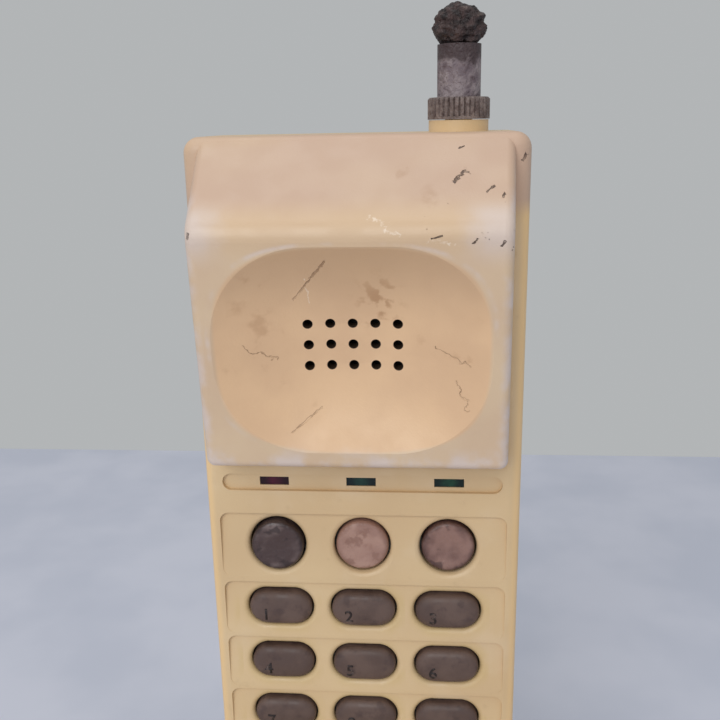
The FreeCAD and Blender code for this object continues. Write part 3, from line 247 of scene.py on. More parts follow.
# ---------------------------------------------------------------- handset: front shell
# One ABS moulding: the key panel and the raised block round the ear. The panel has yellowed, the
# block is pinkish and rubbed pale along its edges, with gouges, hairline cracks and brown stains.
PANEL_Y = case_high.y / MM - 7.0
SEAM_Y = case_high.y / MM
TOP_Z = case_high.z / MM
RIDGE_Y, RIDGE_Z = case_low.y / MM, TOP_Z - 13.7
DISH_Z, DISH_HALF_WIDTH, DISH_HALF_HEIGHT = TOP_Z - 35.0, 23.3, 18.4
BLOCK_HALF_WIDTH, BLOCK_FOOT_Z = 26.4, TOP_Z - 56.0
CASE_HALF_WIDTH, CREASE_Z = 30.0, BLOCK_FOOT_Z - 3.5
FACE_DEPTH, BROW_DEPTH = 5.8, 16.4
FACE_TILT = math.atan(FACE_DEPTH / (RIDGE_Z - BLOCK_FOOT_Z))
BROW_TILT = math.atan(BROW_DEPTH / (TOP_Z - RIDGE_Z))
FACE_Y = RIDGE_Y + (RIDGE_Z - DISH_Z) * math.tan(FACE_TILT)
# the first two colours are real soot and stain, and are also painted shade in the seam and under the block's
# lip; the third is the pale of rubbed wear
STAIN_AND_SHADE, SOOT_AND_SHADE, CHALK = shade(0.60, 0.41, 0.24), shade(0.27, 0.18, 0.14), shade(0.835, 0.79, 0.785)

# straight marks, each from one (x, z) to another, with a half width; z is 0 at the case's top
CRACKS = (
    ((-4.0, -19.5), (-9.5, -26.0), 0.20),
    ((-5.5, -45.5), (-10.5, -49.5), 0.16),
    ((-18.5, -34.0), (-13.0, -36.8), 0.13),
    ((14.0, -34.2), (19.5, -37.5), 0.13),
    ((17.5, -40.0), (19.5, -45.0), 0.10),
)
GOUGES = (
    ((16.9, -7.4), (18.5, -5.9), 0.26),
    ((18.2, -6.0), (19.5, -6.3), 0.15),
    ((21.8, -9.0), (23.1, -8.2), 0.17),
    ((24.4, -9.6), (24.6, -9.4), 0.24),
    ((17.6, -2.6), (18.5, -2.2), 0.12),
    ((13.1, -15.6), (14.7, -15.2), 0.10),
    ((-25.4, -15.2), (-25.2, -14.6), 0.26),
    ((19.7, -16.2), (20.1, -15.7), 0.16),
    ((24.1, -16.6), (24.4, -16.1), 0.18),
    ((28.4, -4.6), (28.9, -3.9), 0.28),
)
SCUFFS = (
    ((3.6, -12.4), (6.2, -13.4), 0.42),
    ((5.4, -14.2), (8.2, -15.0), 0.34),
    ((12.8, -16.0), (16.5, -16.4), 0.30),
    ((-7.5, -22.5), (-7.0, -27.0), 0.12),
)
# round marks, each (x, z, radius), with z as above
SMUDGES = ((8.2, -6.0, 1.5), (12.8, -9.6, 2.2), (-19.0, -27.0, 2.0))


def coat(names, paint):
    """Gives CAD pieces their finish."""
    for name in names:
        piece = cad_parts[name]
        piece.data.materials.clear()
        piece.data.materials.append(paint.material)


def aged_cream(name):
    """Yellowed ABS: soft blotches, fine specks and a moulded grain."""
    paint = Paint(name)
    yellow, tan, pale = shade(0.845, 0.735, 0.57), shade(0.80, 0.68, 0.52), shade(0.865, 0.775, 0.65)
    tint = paint.mix(yellow, tan, paint.cloud(34, 2) * 0.7)
    tint = paint.mix(tint, pale, paint.cloud(11, 4, 0.5, 0.75) * 0.35)
    tint = paint.mix(tint, shade(0.60, 0.49, 0.37), paint.cloud(3.2, 5, 0.62, 0.8) * 0.16)
    paint.grain = paint.cloud(0.5, 2, 0.3, 0.7) * 0.02
    paint.wire("Roughness", paint.cloud(6, 3) * 0.16 + 0.36)
    return paint, tint


def handset_sides(paint, tint):
    """The handset's side walls are painted yellower and brighter than its panel, partly their own tone and
    partly painted light, and the join between the shells is painted dark as painted shade.
    """
    # painted light: the side walls are painted brighter as well as yellower than the panel
    flank_tone_and_light = paint.ramp(abs(paint.x), CASE_HALF_WIDTH - 2.2, CASE_HALF_WIDTH - 0.8)
    flank_tone_and_light = flank_tone_and_light * paint.ramp(paint.y, PANEL_Y - 1, PANEL_Y + 1)
    tint = paint.mix(tint, shade(0.94, 0.79, 0.57), flank_tone_and_light * 0.9)
    # painted shade: the join between the front and rear shells is painted dark
    seam_shade = paint.ramp(abs(paint.y - SEAM_Y), 0.32, 0.08)
    paint.grain = paint.grain + seam_shade * -0.25
    return paint.mix(tint, SOOT_AND_SHADE, seam_shade * (paint.cloud(4, 3, 0.2, 0.6) * 0.4 + 0.45))


def mark(paint, start, end, width, waver):
    """A ragged mark: 1 along the line from start to end and 0 beyond about width from it."""
    (x0, z0), (x1, z1) = start, end
    length = math.hypot(x1 - x0, z1 - z0)
    along_x, along_z = (x1 - x0) / length, (z1 - z0) / length
    dx, dz = paint.x - x0 + waver, paint.z - (TOP_Z + z0) + waver
    across = abs(dx * along_z - dz * along_x)
    beyond = abs(dx * along_x + dz * along_z - length / 2) - length / 2
    ragged = (across | beyond) + (paint.fleck - 0.5) * (width * 4.0)
    return paint.ramp(ragged, width, width * 0.4)


def marks(paint, lines, waver):
    """The union of several marks."""
    found = [mark(paint, *line, waver) for line in lines]
    total = found[0]
    for one in found[1:]:
        total = total | one
    return total


cream, tint = aged_cream("aged_cream_front")
tint = handset_sides(cream, tint)
noise = "ShaderNodeTexNoise"
cream.fleck = cream.add(noise, inputs={"Vector": cream.place, "Scale": 1.6, "Detail": 3.0})
wander = (cream.add(noise, inputs={"Vector": cream.place, "Scale": 0.45, "Detail": 3.0}) - 0.5) * 3.0
raised = cream.ramp(cream.y, PANEL_Y + 0.2, PANEL_Y - 1.2)
ear_block = raised & cream.ramp(cream.z, BLOCK_FOOT_Z - 4, BLOCK_FOOT_Z - 2)
from_ridge = ((cream.y - RIDGE_Y) ** 2 + (cream.z - RIDGE_Z) ** 2) ** 0.5
ridge_band = cream.ramp(from_ridge, 7.5, 1.5)
forehead = cream.ramp(cream.z, RIDGE_Z - 1, RIDGE_Z + 3) * cream.ramp(cream.y, SEAM_Y - 2, SEAM_Y - 5)
reach_x = abs(cream.x * (1 / DISH_HALF_WIDTH)) ** 3
reach_z = abs((cream.z - DISH_Z) * (1 / DISH_HALF_HEIGHT)) ** 3
dish_reach = (reach_x + reach_z) ** (1 / 3)
dish = cream.ramp(dish_reach, 1.0, 0.965) & ear_block
behind_face = (cream.y - FACE_Y) * math.cos(FACE_TILT) + (cream.z - DISH_Z) * math.sin(FACE_TILT)
behind_brow = (cream.y - RIDGE_Y) * math.cos(BROW_TILT) - (cream.z - RIDGE_Z) * math.sin(BROW_TILT)
by_front = cream.ramp(behind_face & behind_brow, 3.2, 1.0)
blush = cream.mix(shade(0.81, 0.70, 0.59), shade(0.84, 0.74, 0.62), cream.cloud(15, 3))
tint = cream.mix(tint, blush, ear_block * 0.85)
# the forehead is painted darker and a little pinker than the block: partly its own tone, partly painted shade
# on a slope that faces up
tint = cream.mix(tint, shade(0.775, 0.655, 0.565), forehead * (cream.cloud(24, 2, 0.3, 0.6) * 0.3 + 0.7))
tint = cream.mix(tint, shade(0.815, 0.695, 0.56), ridge_band * 0.75)
bowl_tint = cream.mix(shade(0.885, 0.735, 0.575), shade(0.85, 0.70, 0.55), cream.cloud(12, 3))
tint = cream.mix(tint, bowl_tint, dish * 0.9)
# painted shade: the upper part of the dish, which faces down, is painted darker
tint = cream.mix(tint, shade(0.76, 0.63, 0.50), dish * cream.ramp(cream.z, DISH_Z + 3, DISH_Z + 17) * 0.7)

# rubbed pale: the block's two sides, its lower lip, the ends of its ridge and the dish's rim
side_rub = cream.ramp(abs(cream.x) + wander * 0.6, BLOCK_HALF_WIDTH - 2.4, BLOCK_HALF_WIDTH - 0.4) * by_front
lip_rub = cream.ramp(cream.z + wander * 0.6, BLOCK_FOOT_Z + 4.5, BLOCK_FOOT_Z + 0.5)
end_rub = ridge_band * cream.ramp(abs(cream.x + 1) + wander, 17.0, 24.0)
rim_rub = cream.ramp(abs(dish_reach - 1.02), 0.03, 0.0) * cream.cloud(9, 3, 0.45, 0.6) * 0.7
below_brow = cream.ramp(cream.z, RIDGE_Z + 6, RIDGE_Z + 2) & ear_block
rubbed = ((side_rub | lip_rub | rim_rub) * cream.cloud(5, 4, 0.36, 0.6) | end_rub * 0.9) * below_brow
tint = cream.mix(tint, CHALK, rubbed * 0.62)

# a yellowish painted shadow round each key, falling a little to its right
KEY_PITCH_X, KEY_PITCH_Z, KEY_ROW_Z = 16.5, 12.3, TOP_Z - 90.75
KEY_HALF_STRAIGHT, KEY_HALF_HEIGHT, KEY_SHADOW_SHIFT = 2.7, 3.55, 0.6
from_column = (cream.x + KEY_PITCH_X / 2) % KEY_PITCH_X - KEY_PITCH_X / 2
from_row = (cream.z - KEY_ROW_Z + KEY_PITCH_Z / 2) % KEY_PITCH_Z - KEY_PITCH_Z / 2
past_end = (abs(from_column - KEY_SHADOW_SHIFT) - KEY_HALF_STRAIGHT) | 0
from_key = (past_end ** 2 + from_row ** 2) ** 0.5 - KEY_HALF_HEIGHT
FOUR_ROWS_Z = KEY_ROW_Z - KEY_PITCH_Z * 1.5
by_rows = cream.ramp(abs(cream.z - FOUR_ROWS_Z), KEY_PITCH_Z * 2.05, KEY_PITCH_Z * 1.9)
by_columns = cream.ramp(abs(cream.x), KEY_PITCH_X * 1.6, KEY_PITCH_X * 1.5)
key_shadow = cream.ramp(from_key, 2.8, 0.6) * by_rows * by_columns * cream.cloud(7, 3, 0.3, 0.65)
tint = cream.mix(tint, shade(0.80, 0.69, 0.47), key_shadow * 0.5)

# painted shade on the panel just under the block's lip
lip_shadow = cream.ramp(abs(cream.z - CREASE_Z), 1.6, 0.2) * cream.ramp(cream.y, PANEL_Y - 1.5, PANEL_Y)
lip_shadow = lip_shadow * cream.ramp(abs(cream.x), CASE_HALF_WIDTH - 2.0, CASE_HALF_WIDTH - 3.5)
tint = cream.mix(tint, STAIN_AND_SHADE, lip_shadow * cream.cloud(5, 3, 0.3, 0.65) * 0.35)

# stains in the dish, cracks across it, and chips and gouges near the ridge
stain_x, stain_z = cream.x - 4.5 + wander, cream.z - (DISH_Z + 8.5) + wander
stain_reach = (stain_x ** 2 + stain_z ** 2 * 0.6) ** 0.5
stained = cream.ramp(stain_reach, 5.5, 0.5) * cream.cloud(2.2, 4, 0.5, 0.62) * dish
tint = cream.mix(tint, STAIN_AND_SHADE, stained * 0.5)
tint = cream.mix(tint, STAIN_AND_SHADE, cream.cloud(6, 5, 0.62, 0.72) * dish * 0.25)
cracks = marks(cream, CRACKS, wander) * ear_block
tint = cream.mix(tint, shade(0.50, 0.36, 0.25), cracks * cream.cloud(2.4, 3, 0.3, 0.6) * 0.6)
for smudge_x, smudge_z, smudge_size in SMUDGES:
    smudge_off = ((cream.x - smudge_x + wander) ** 2 + (cream.z - (TOP_Z + smudge_z) + wander) ** 2) ** 0.5
    smudge = cream.ramp(smudge_off, smudge_size, smudge_size * 0.3) * cream.cloud(2, 4, 0.3, 0.65) * raised
    tint = cream.mix(tint, STAIN_AND_SHADE, smudge * 0.25)
scuffed = marks(cream, SCUFFS, wander * 0.4) * raised
tint = cream.mix(tint, shade(0.92, 0.85, 0.77), scuffed * cream.cloud(0.8, 3, 0.4, 0.6) * 0.7)
chips = cream.cloud(0.9, 2, 0.73, 0.78) * cream.ramp(from_ridge, 7.0, 2.0) * cream.ramp(cream.x, 8, 20)
front_side = cream.ramp(cream.y, SEAM_Y - 2, SEAM_Y - 4)
hurt = (marks(cream, GOUGES, wander * 0.25) | chips) * front_side
tint = cream.mix(tint, SOOT_AND_SHADE, hurt * (cream.cloud(1.1, 2, 0.3, 0.6) * 0.5 + 0.4))

# the 5 x 3 sound holes are square to the face and painted near black: painted shade inside them, with dirt at
# their rims
HOLE_PITCH, HOLE_RADIUS = 3.8, 0.8
up_face = (cream.z - DISH_Z) * math.cos(FACE_TILT) - (cream.y - FACE_Y) * math.sin(FACE_TILT)
hole_x = (cream.x + HOLE_PITCH / 2) % HOLE_PITCH - HOLE_PITCH / 2
hole_up = (up_face + HOLE_PITCH / 2) % HOLE_PITCH - HOLE_PITCH / 2
in_hole = cream.ramp((hole_x ** 2 + hole_up ** 2) ** 0.5, HOLE_RADIUS * 1.12, HOLE_RADIUS * 1.03)
in_columns = cream.ramp(abs(cream.x), HOLE_PITCH * 2.6, HOLE_PITCH * 2.5)
in_rows = cream.ramp(abs(up_face), HOLE_PITCH * 1.6, HOLE_PITCH * 1.5)
tint = cream.mix(tint, shade(0.09, 0.05, 0.04), in_hole * in_columns * in_rows * ear_block * 0.95)
cream.wire("Base Color", tint)
cream.relief(cream.grain - hurt * 1.0 - cracks * 0.3 - rubbed * 0.06, 0.35)
coat(["handset_front_shell"], cream)

# ---------------------------------------------------------------- handset: rear shell, battery cover
# The back tray with the battery bay and the antenna's boss, and the flat cover that snaps over the
# bay. Both are the same yellowed ABS; the palm has polished and greyed the middle of the back.
rear_cream, rear_tint = aged_cream("aged_cream_rear")
rear_tint = handset_sides(rear_cream, rear_tint)
BACK_Y = SEAM_Y + 19
PALM_Z, PALM_HALF_WIDTH, PALM_HALF_HEIGHT = 90.0, 30.0, 80.0
palm_x, palm_z = rear_cream.x * (1 / PALM_HALF_WIDTH), (rear_cream.z - PALM_Z) * (1 / PALM_HALF_HEIGHT)
palm = rear_cream.ramp((palm_x ** 2 + palm_z ** 2) ** 0.5, 1.15, 0.4)
palm = palm * rear_cream.ramp(rear_cream.y, BACK_Y - 3, BACK_Y)
rear_tint = rear_cream.mix(rear_tint, shade(0.74, 0.66, 0.55), palm * rear_cream.cloud(14, 4, 0.3, 0.7) * 0.5)
to_edge = abs(rear_cream.x) - CASE_HALF_WIDTH + rear_cream.y - BACK_Y
edge_rub = rear_cream.ramp(to_edge, -4.6, -3.0) * rear_cream.cloud(6, 4, 0.46, 0.62)
rear_tint = rear_cream.mix(rear_tint, CHALK, edge_rub * 0.4)
rear_cream.wire("Base Color", rear_tint)
rear_cream.relief(rear_cream.grain, 0.35)
coat(["handset_rear_shell", "battery_cover"], rear_cream)

# ---------------------------------------------------------------- handset: indicator windows
# Three small tinted acrylic panes that snap into the strip from behind: one maroon, two bottle
# green. Unlit, they look nearly black, with a faint brighter core where the lamp stands behind.
LENS_TONES = {
    "lamp_lens_red_left": (shade(0.30, 0.08, 0.17), shade(0.15, 0.05, 0.09)),
    "lamp_lens_green_middle": (shade(0.13, 0.25, 0.22), shade(0.07, 0.12, 0.13)),
    "lamp_lens_green_right": (shade(0.12, 0.28, 0.21), shade(0.06, 0.13, 0.12)),
    "base_power_lens": (shade(0.42, 0.09, 0.12), shade(0.18, 0.04, 0.06)),
    "base_charge_lens": (shade(0.12, 0.30, 0.20), shade(0.06, 0.13, 0.11)),
}
GLOW_REACH = 2.2


def tint_lens(name):
    """A pane's tint, with a brighter core that fades out GLOW_REACH from its middle."""
    core_tone, rim_tone = LENS_TONES[name]
    low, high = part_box(name)
    middle = (low + high) / 2 / MM
    paint = Paint(f"{name}_tint", Roughness=0.3, Specular_IOR_Level=0.25)
    off = ((paint.x - middle.x) ** 2 + (paint.z - middle.z) ** 2) ** 0.5
    glow = paint.ramp(off, GLOW_REACH, 0.2) * (paint.cloud(1.2, 3) * 0.4 + 0.6)
    paint.wire("Base Color", paint.mix(rim_tone, core_tone, glow))
    coat([name], paint)


for lens_name in ("lamp_lens_red_left", "lamp_lens_green_middle", "lamp_lens_green_right"):
    tint_lens(lens_name)

# ---------------------------------------------------------------- handset: oval keys
# Twelve brown keytops, crowned like pillows with a rolled edge, each on its own CAD key. The
# figures are printed small at the lower left and are half worn away.
KEYS = ["1", "2", "3", "4", "5", "6", "7", "8", "9", "star", "0", "hash"]
KEY_SIGNS = {"star": "*", "hash": "#"}
KEY_CROWN, KEY_ROLL, KEY_FLANGE = 0.36 * MM, 1.1 * MM, 0.7 * MM
CROWN_RINGS, ROLL_RINGS, ROLL_START, END_SNAP = 9, 7, 0.2, 6
FIGURE_HEIGHT, FIGURE_WEIGHT, INK_DEPTH = 3.5 * MM, 0.05 * MM, 0.03 * MM
FIGURE_X, FIGURE_Z, REACH_STEPS = -2.8 * MM, -1.2 * MM, 6
key_low, key_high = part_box("key_5")
KEY_END = (key_high.z - key_low.z) / 2 - KEY_FLANGE
KEY_STRAIGHT = (key_high.x - key_low.x) / 2 - KEY_FLANGE - KEY_END


def skin_depth(reach):
    """How far a keytop's skin lies behind its highest point, for reach 0 at its middle to 1 at its
    side: a parabola, then a quarter circle."""
    roll_share = KEY_ROLL / KEY_END
    over = np.clip((reach - (1 - roll_share)) / roll_share, 0, 1)
    return KEY_CROWN * np.clip(reach, 0, 1) ** 2 + KEY_ROLL * (1 - np.sqrt(1 - over ** 2))


def keytop(name, low, high, segments=72):
    """A closed pillow: rings of a lozenge outline, a circle whose halves are pushed apart by tanh,
    scaled by reach from 0 to 1 on the skin, then straight back to a flat end behind the panel."""
    middle = (low + high) / 2
    angle = np.linspace(0, 2 * math.pi, segments, endpoint=False)
    outline_x = KEY_END * np.cos(angle) + KEY_STRAIGHT * np.tanh(END_SNAP * np.cos(angle))
    outline_z = KEY_END * np.sin(angle)
    roll_share = KEY_ROLL / KEY_END
    rolling = 1 - roll_share * (1 - np.sin(np.linspace(ROLL_START, math.pi / 2, ROLL_RINGS)))
    reach = np.concatenate([np.linspace(0, 1 - roll_share, CROWN_RINGS), rolling])
    depth = np.append(low.y + skin_depth(reach), [high.y, high.y])
    reach = np.append(reach, [1.0, 0.0])
    rings = np.stack([
        middle.x + reach[:, None] * outline_x,
        np.repeat(depth[:, None], segments, axis=1),
        middle.z + reach[:, None] * outline_z,
    ], axis=-1)
    return grid_mesh(name, rings, closed_v=True, paint=key_paint)


def figure(name, sign, low, high):
    """A printed sign: its letters' outline laid on the keytop's skin, with the depth of the ink. The
    outline's straight part shrinks with reach, so reach is found in a few steps."""
    letters = bpy.data.curves.new(name, "FONT")
    letters.body = sign
    letters.size = FIGURE_HEIGHT
    letters.offset = FIGURE_WEIGHT
    letters.align_x = "CENTER"
    letters.align_y = "CENTER"
    flat = bpy.data.objects.new(f"{name}_flat", letters)
    scene.collection.objects.link(flat)
    bpy.context.view_layer.update()
    mesh = bpy.data.meshes.new_from_object(flat.evaluated_get(bpy.context.evaluated_depsgraph_get()))
    bpy.data.objects.remove(flat)
    points = np.zeros(len(mesh.vertices) * 3)
    mesh.vertices.foreach_get("co", points)
    dx, dz = points[0::3] + FIGURE_X, points[1::3] + FIGURE_Z
    reach = np.zeros(len(dx))
    for _ in range(REACH_STEPS):
        reach = np.hypot(np.maximum(np.abs(dx) - KEY_STRAIGHT * reach, 0), dz) / KEY_END
    middle = (low + high) / 2
    on_skin = np.stack([middle.x + dx, low.y + skin_depth(reach) - INK_DEPTH, middle.z + dz], axis=-1)
    mesh.vertices.foreach_set("co", on_skin.ravel())
    mesh.name = name
    mesh.materials.clear()
    mesh.materials.append(ink.material)
    piece = bpy.data.objects.new(name, mesh)
    scene.collection.objects.link(piece)
    skin = piece.modifiers.new("thickness", "SOLIDIFY")
    skin.thickness = INK_DEPTH
    skin.offset = 0
    return piece


key_paint = Paint("key_brown")
key_tint = key_paint.mix(shade(0.325, 0.252, 0.228), shade(0.385, 0.308, 0.278), key_paint.cloud(5, 3))
key_tint = key_paint.mix(key_tint, shade(0.24, 0.175, 0.17), key_paint.cloud(2.6, 3, 0.52, 0.70) * 0.5)
key_paint.wire("Base Color", key_tint)
key_paint.wire("Roughness", key_paint.cloud(2.5, 3) * 0.2 + 0.46)
key_paint.relief(key_paint.cloud(0.35, 2), 0.012)
ink = Paint("worn_ink", Roughness=0.6)
ink_tint = ink.mix(shade(0.13, 0.09, 0.09), shade(0.36, 0.30, 0.28), ink.cloud(1.1, 3, 0.52, 0.68))
ink.wire("Base Color", ink_tint)
for key in KEYS:
    low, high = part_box(f"key_{key}")
    top = keytop(f"keytop_{key}", low, high)
    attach(top, f"key_{key}_body")
    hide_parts(f"key_{key}")
    printed = figure(f"figure_{key}", KEY_SIGNS.get(key, key), low, high)
    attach(printed, f"key_{key}_body")

# ---------------------------------------------------------------- handset: round buttons
# Three round ABS buttons with hollowed faces. The left one is dark and stands proud, the other two
# have faded pink and sit low in their holes, so a dark crescent shows above them.
BUTTONS = (
    ("left", 0.25, "button_dark",
     shade(0.27, 0.20, 0.195), shade(0.44, 0.375, 0.365), shade(0.15, 0.095, 0.10)),
    ("middle", 0.40, "button_pink",
     shade(0.61, 0.47, 0.42), shade(0.67, 0.53, 0.475), shade(0.53, 0.39, 0.34)),
    ("right", 0.40, "button_red",
     shade(0.43, 0.31, 0.28), shade(0.56, 0.43, 0.39), shade(0.24, 0.15, 0.14)),
)
BUTTON_FLANGE, BUTTON_ROLL, BOWL_RINGS = 1.1 * MM, 0.8 * MM, 12


def turned_button(name, low, high, hollow, paint, segments=72):
    """Rings about the button's middle: a face hollowed by a squared cosine, a rolled rim, a wall."""
    middle_x, middle_z = (low.x + high.x) / 2, (low.z + high.z) / 2
    radius = (high.x - low.x) / 2 - BUTTON_FLANGE
    turn_over = np.linspace(0, math.pi / 2, ROLL_RINGS)[1:]
    across = np.linspace(0, 1, BOWL_RINGS) * (radius - BUTTON_ROLL)
    bowl = hollow * MM * np.cos(np.linspace(0, math.pi / 2, BOWL_RINGS)) ** 2
    rolled = radius - BUTTON_ROLL + BUTTON_ROLL * np.sin(turn_over)
    ring_size = np.concatenate([across, rolled, [radius, 0]])
    ring_y = np.concatenate([low.y + bowl, low.y + BUTTON_ROLL * (1 - np.cos(turn_over)), [high.y, high.y]])
    angle = np.linspace(0, 2 * math.pi, segments, endpoint=False)
    rings = np.stack([
        middle_x + ring_size[:, None] * np.cos(angle),
        np.repeat(ring_y[:, None], segments, axis=1),
        middle_z + ring_size[:, None] * np.sin(angle),
    ], axis=-1)
    return grid_mesh(name, rings, closed_v=True, paint=paint)


for side, hollow, slot_name, low_tone, high_tone, spot_tone in BUTTONS:
    node = f"round_button_{side}"
    button_low, button_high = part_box(node)
    button_paint = Paint(f"{node}_brown")
    button_tint = button_paint.mix(low_tone, high_tone, button_paint.cloud(4.5, 2))
    button_tint = button_paint.mix(button_tint, spot_tone, button_paint.cloud(2.4, 3, 0.54, 0.66) * 0.7)
    dx = button_paint.x - (button_low.x + button_high.x) / 2 / MM
    dz = button_paint.z - (button_low.z + button_high.z) / 2 / MM
    # the face is painted darker towards its rim
    rim_darkening = button_paint.ramp((dx ** 2 + dz ** 2) ** 0.5 + button_paint.cloud(2, 3) * 0.6, 4.3, 5.3)
    button_tint = button_paint.mix(button_tint, spot_tone, rim_darkening * 0.7)
    button_paint.wire("Base Color", button_tint)
    button_paint.wire("Roughness", button_paint.cloud(2.5, 3) * 0.2 + 0.32)
    button_paint.relief(button_paint.cloud(0.9, 3), 0.05)
    button = turned_button(f"button_face_{side}", button_low, button_high, hollow, button_paint)
    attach(button, f"{node}_body")
    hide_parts(node)

# ---------------------------------------------------------------- handset: key mat
# A sheet of grey silicone rubber, moulded with a dome under every key and laid on the board, with a
# dusty bloom on it.
mat_paint = Paint("silicone_grey")
mat_tint = mat_paint.mix(shade(0.50, 0.50, 0.49), shade(0.58, 0.58, 0.56), mat_paint.cloud(7, 3))
mat_bloom = mat_paint.cloud(1.2, 5, 0.58, 0.7) * 0.5
mat_paint.wire("Base Color", mat_paint.mix(mat_tint, shade(0.68, 0.66, 0.62), mat_bloom))
mat_paint.wire("Roughness", mat_paint.cloud(4, 3) * 0.2 + 0.6)
mat_paint.relief(mat_paint.cloud(0.4, 3), 0.03)
coat(["keypad_mat"], mat_paint)

# ---------------------------------------------------------------- circuit boards
# Glass-fibre boards under green lacquer, one behind the keys and one in the base, with copper
# tracks that show as paler lines and dull solder lands at even spacing.
TRACK_PITCH, LAND_PITCH = 2.54, 5.08


def lacquered_board(name, along, across):
    """Green lacquer over tracks that run along one axis, broken by noise, with round solder lands."""
    paint = Paint(f"{name}_lacquer")
    ground = paint.mix(shade(0.10, 0.27, 0.16), shade(0.14, 0.33, 0.20), paint.cloud(9, 3))
    u, v = getattr(paint, along), getattr(paint, across)
    line = paint.ramp(abs(u % TRACK_PITCH - TRACK_PITCH / 2), 0.42, 0.30)
    line = line * paint.cloud(11, 0, 0.46, 0.48, stretch=(1, 1, 0.3))
    tinted = paint.mix(ground, shade(0.26, 0.45, 0.24), line)
    off_u, off_v = u % LAND_PITCH - LAND_PITCH / 2, v % LAND_PITCH - LAND_PITCH / 2
    land = paint.ramp((off_u ** 2 + off_v ** 2) ** 0.5, 0.75, 0.62) * paint.cloud(8, 0, 0.50, 0.52)
    paint.wire("Base Color", paint.mix(tinted, shade(0.66, 0.66, 0.64), land))
    paint.wire("Metallic", land * 0.9)
    paint.wire("Roughness", paint.cloud(3, 3) * 0.15 + 0.25)
    paint.relief(line * 0.5 + land, 0.05)
    coat([name], paint)


lacquered_board("handset_circuit_board", "x", "z")
lacquered_board("base_circuit_board", "x", "y")

# ---------------------------------------------------------------- parts on the boards
# The handset's board carries a tinned screening can, a tinned crystal, black chips and milky lamps;
# the base's carries a black transformer and chip, a tinned switch and the same milky lamps. All are
# soldered down.
CAN_Z, LAMP_Z, CRYSTAL_Z, CRYSTAL_X = 141.0, TOP_Z - 63.7, 45.0, 6.0
BASE_LAMP_Y = -12.0


def board_parts(name, tinned, milky):
    """Tinned metal, milky plastic and black epoxy, chosen by two masks."""
    paint = Paint(f"{name}_finish")
    tin, milk = tinned(paint), milky(paint)
    epoxy = paint.mix(shade(0.07, 0.07, 0.075), shade(0.12, 0.12, 0.12), paint.cloud(1.5, 3))
    metal = paint.mix(shade(0.62, 0.62, 0.61), shade(0.74, 0.74, 0.73), paint.cloud(4, 4))
    tinted = paint.mix(paint.mix(epoxy, metal, tin), shade(0.80, 0.79, 0.74), milk)
    paint.wire("Base Color", tinted)
    paint.wire("Metallic", tin * 0.95)
    paint.wire("Roughness", paint.cloud(2, 4) * 0.25 + 0.30)
    paint.relief(paint.cloud(0.5, 3), 0.02)
    coat([name], paint)


def can_or_crystal(paint):
    """The screening can high on the handset's board and the crystal low on its right."""
    crystal = paint.ramp(paint.z, CRYSTAL_Z, CRYSTAL_Z - 1) * paint.ramp(paint.x, CRYSTAL_X, CRYSTAL_X + 1)
    return paint.ramp(paint.z, CAN_Z - 1, CAN_Z) | crystal


board_parts("board_components", can_or_crystal, lambda paint: paint.ramp(abs(paint.z - LAMP_Z), 2.5, 2.0))
board_parts(
    "base_board_components",
    lambda paint: paint.ramp(abs(paint.x), 4.0, 3.5),
    lambda paint: paint.ramp(paint.y, BASE_LAMP_Y - 1, BASE_LAMP_Y),
)

# ---------------------------------------------------------------- earpiece and microphone
# A black receiver capsule with a foam ring that seals it to the dish, and an aluminium microphone
# can with a felt face in a soft rubber boot.
foam_paint = Paint("charcoal_foam", Roughness=0.95)
foam_tint = foam_paint.mix(shade(0.10, 0.10, 0.10), shade(0.22, 0.21, 0.21), foam_paint.cloud(0.5, 3))
foam_paint.wire("Base Color", foam_tint)
foam_paint.relief(foam_paint.cloud(0.5, 3), 0.25)
coat(["earpiece_gasket"], foam_paint)
capsule_paint = Paint("capsule_black")
capsule_tint = capsule_paint.mix(shade(0.10, 0.10, 0.11), shade(0.16, 0.16, 0.17), capsule_paint.cloud(5, 3))
capsule_paint.wire("Base Color", capsule_tint)
capsule_paint.wire("Roughness", capsule_paint.cloud(2, 3) * 0.2 + 0.35)
capsule_paint.relief(capsule_paint.cloud(0.6, 2), 0.03)
coat(["earpiece_capsule"], capsule_paint)
boot_paint = Paint("boot_rubber")
boot_tint = boot_paint.mix(shade(0.13, 0.13, 0.13), shade(0.20, 0.19, 0.19), boot_paint.cloud(2, 4))
boot_paint.wire("Base Color", boot_tint)
boot_paint.wire("Roughness", boot_paint.cloud(2, 3) * 0.15 + 0.7)
boot_paint.relief(boot_paint.cloud(0.5, 3), 0.04)
coat(["microphone_boot"], boot_paint)
can_paint = Paint("microphone_aluminium")
CAN_FACE_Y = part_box("microphone_capsule")[0].y / MM
felt = can_paint.ramp(can_paint.y, CAN_FACE_Y + 0.12, CAN_FACE_Y + 0.05)
can_metal = can_paint.mix(shade(0.70, 0.70, 0.71), shade(0.80, 0.80, 0.80), can_paint.cloud(2, 3))
can_paint.wire("Base Color", can_paint.mix(can_metal, shade(0.08, 0.08, 0.08), felt))
can_paint.wire("Metallic", 1 - felt)
can_paint.wire("Roughness", felt * 0.5 + can_paint.cloud(1, 3) * 0.15 + 0.3)
coat(["microphone_capsule"], can_paint)

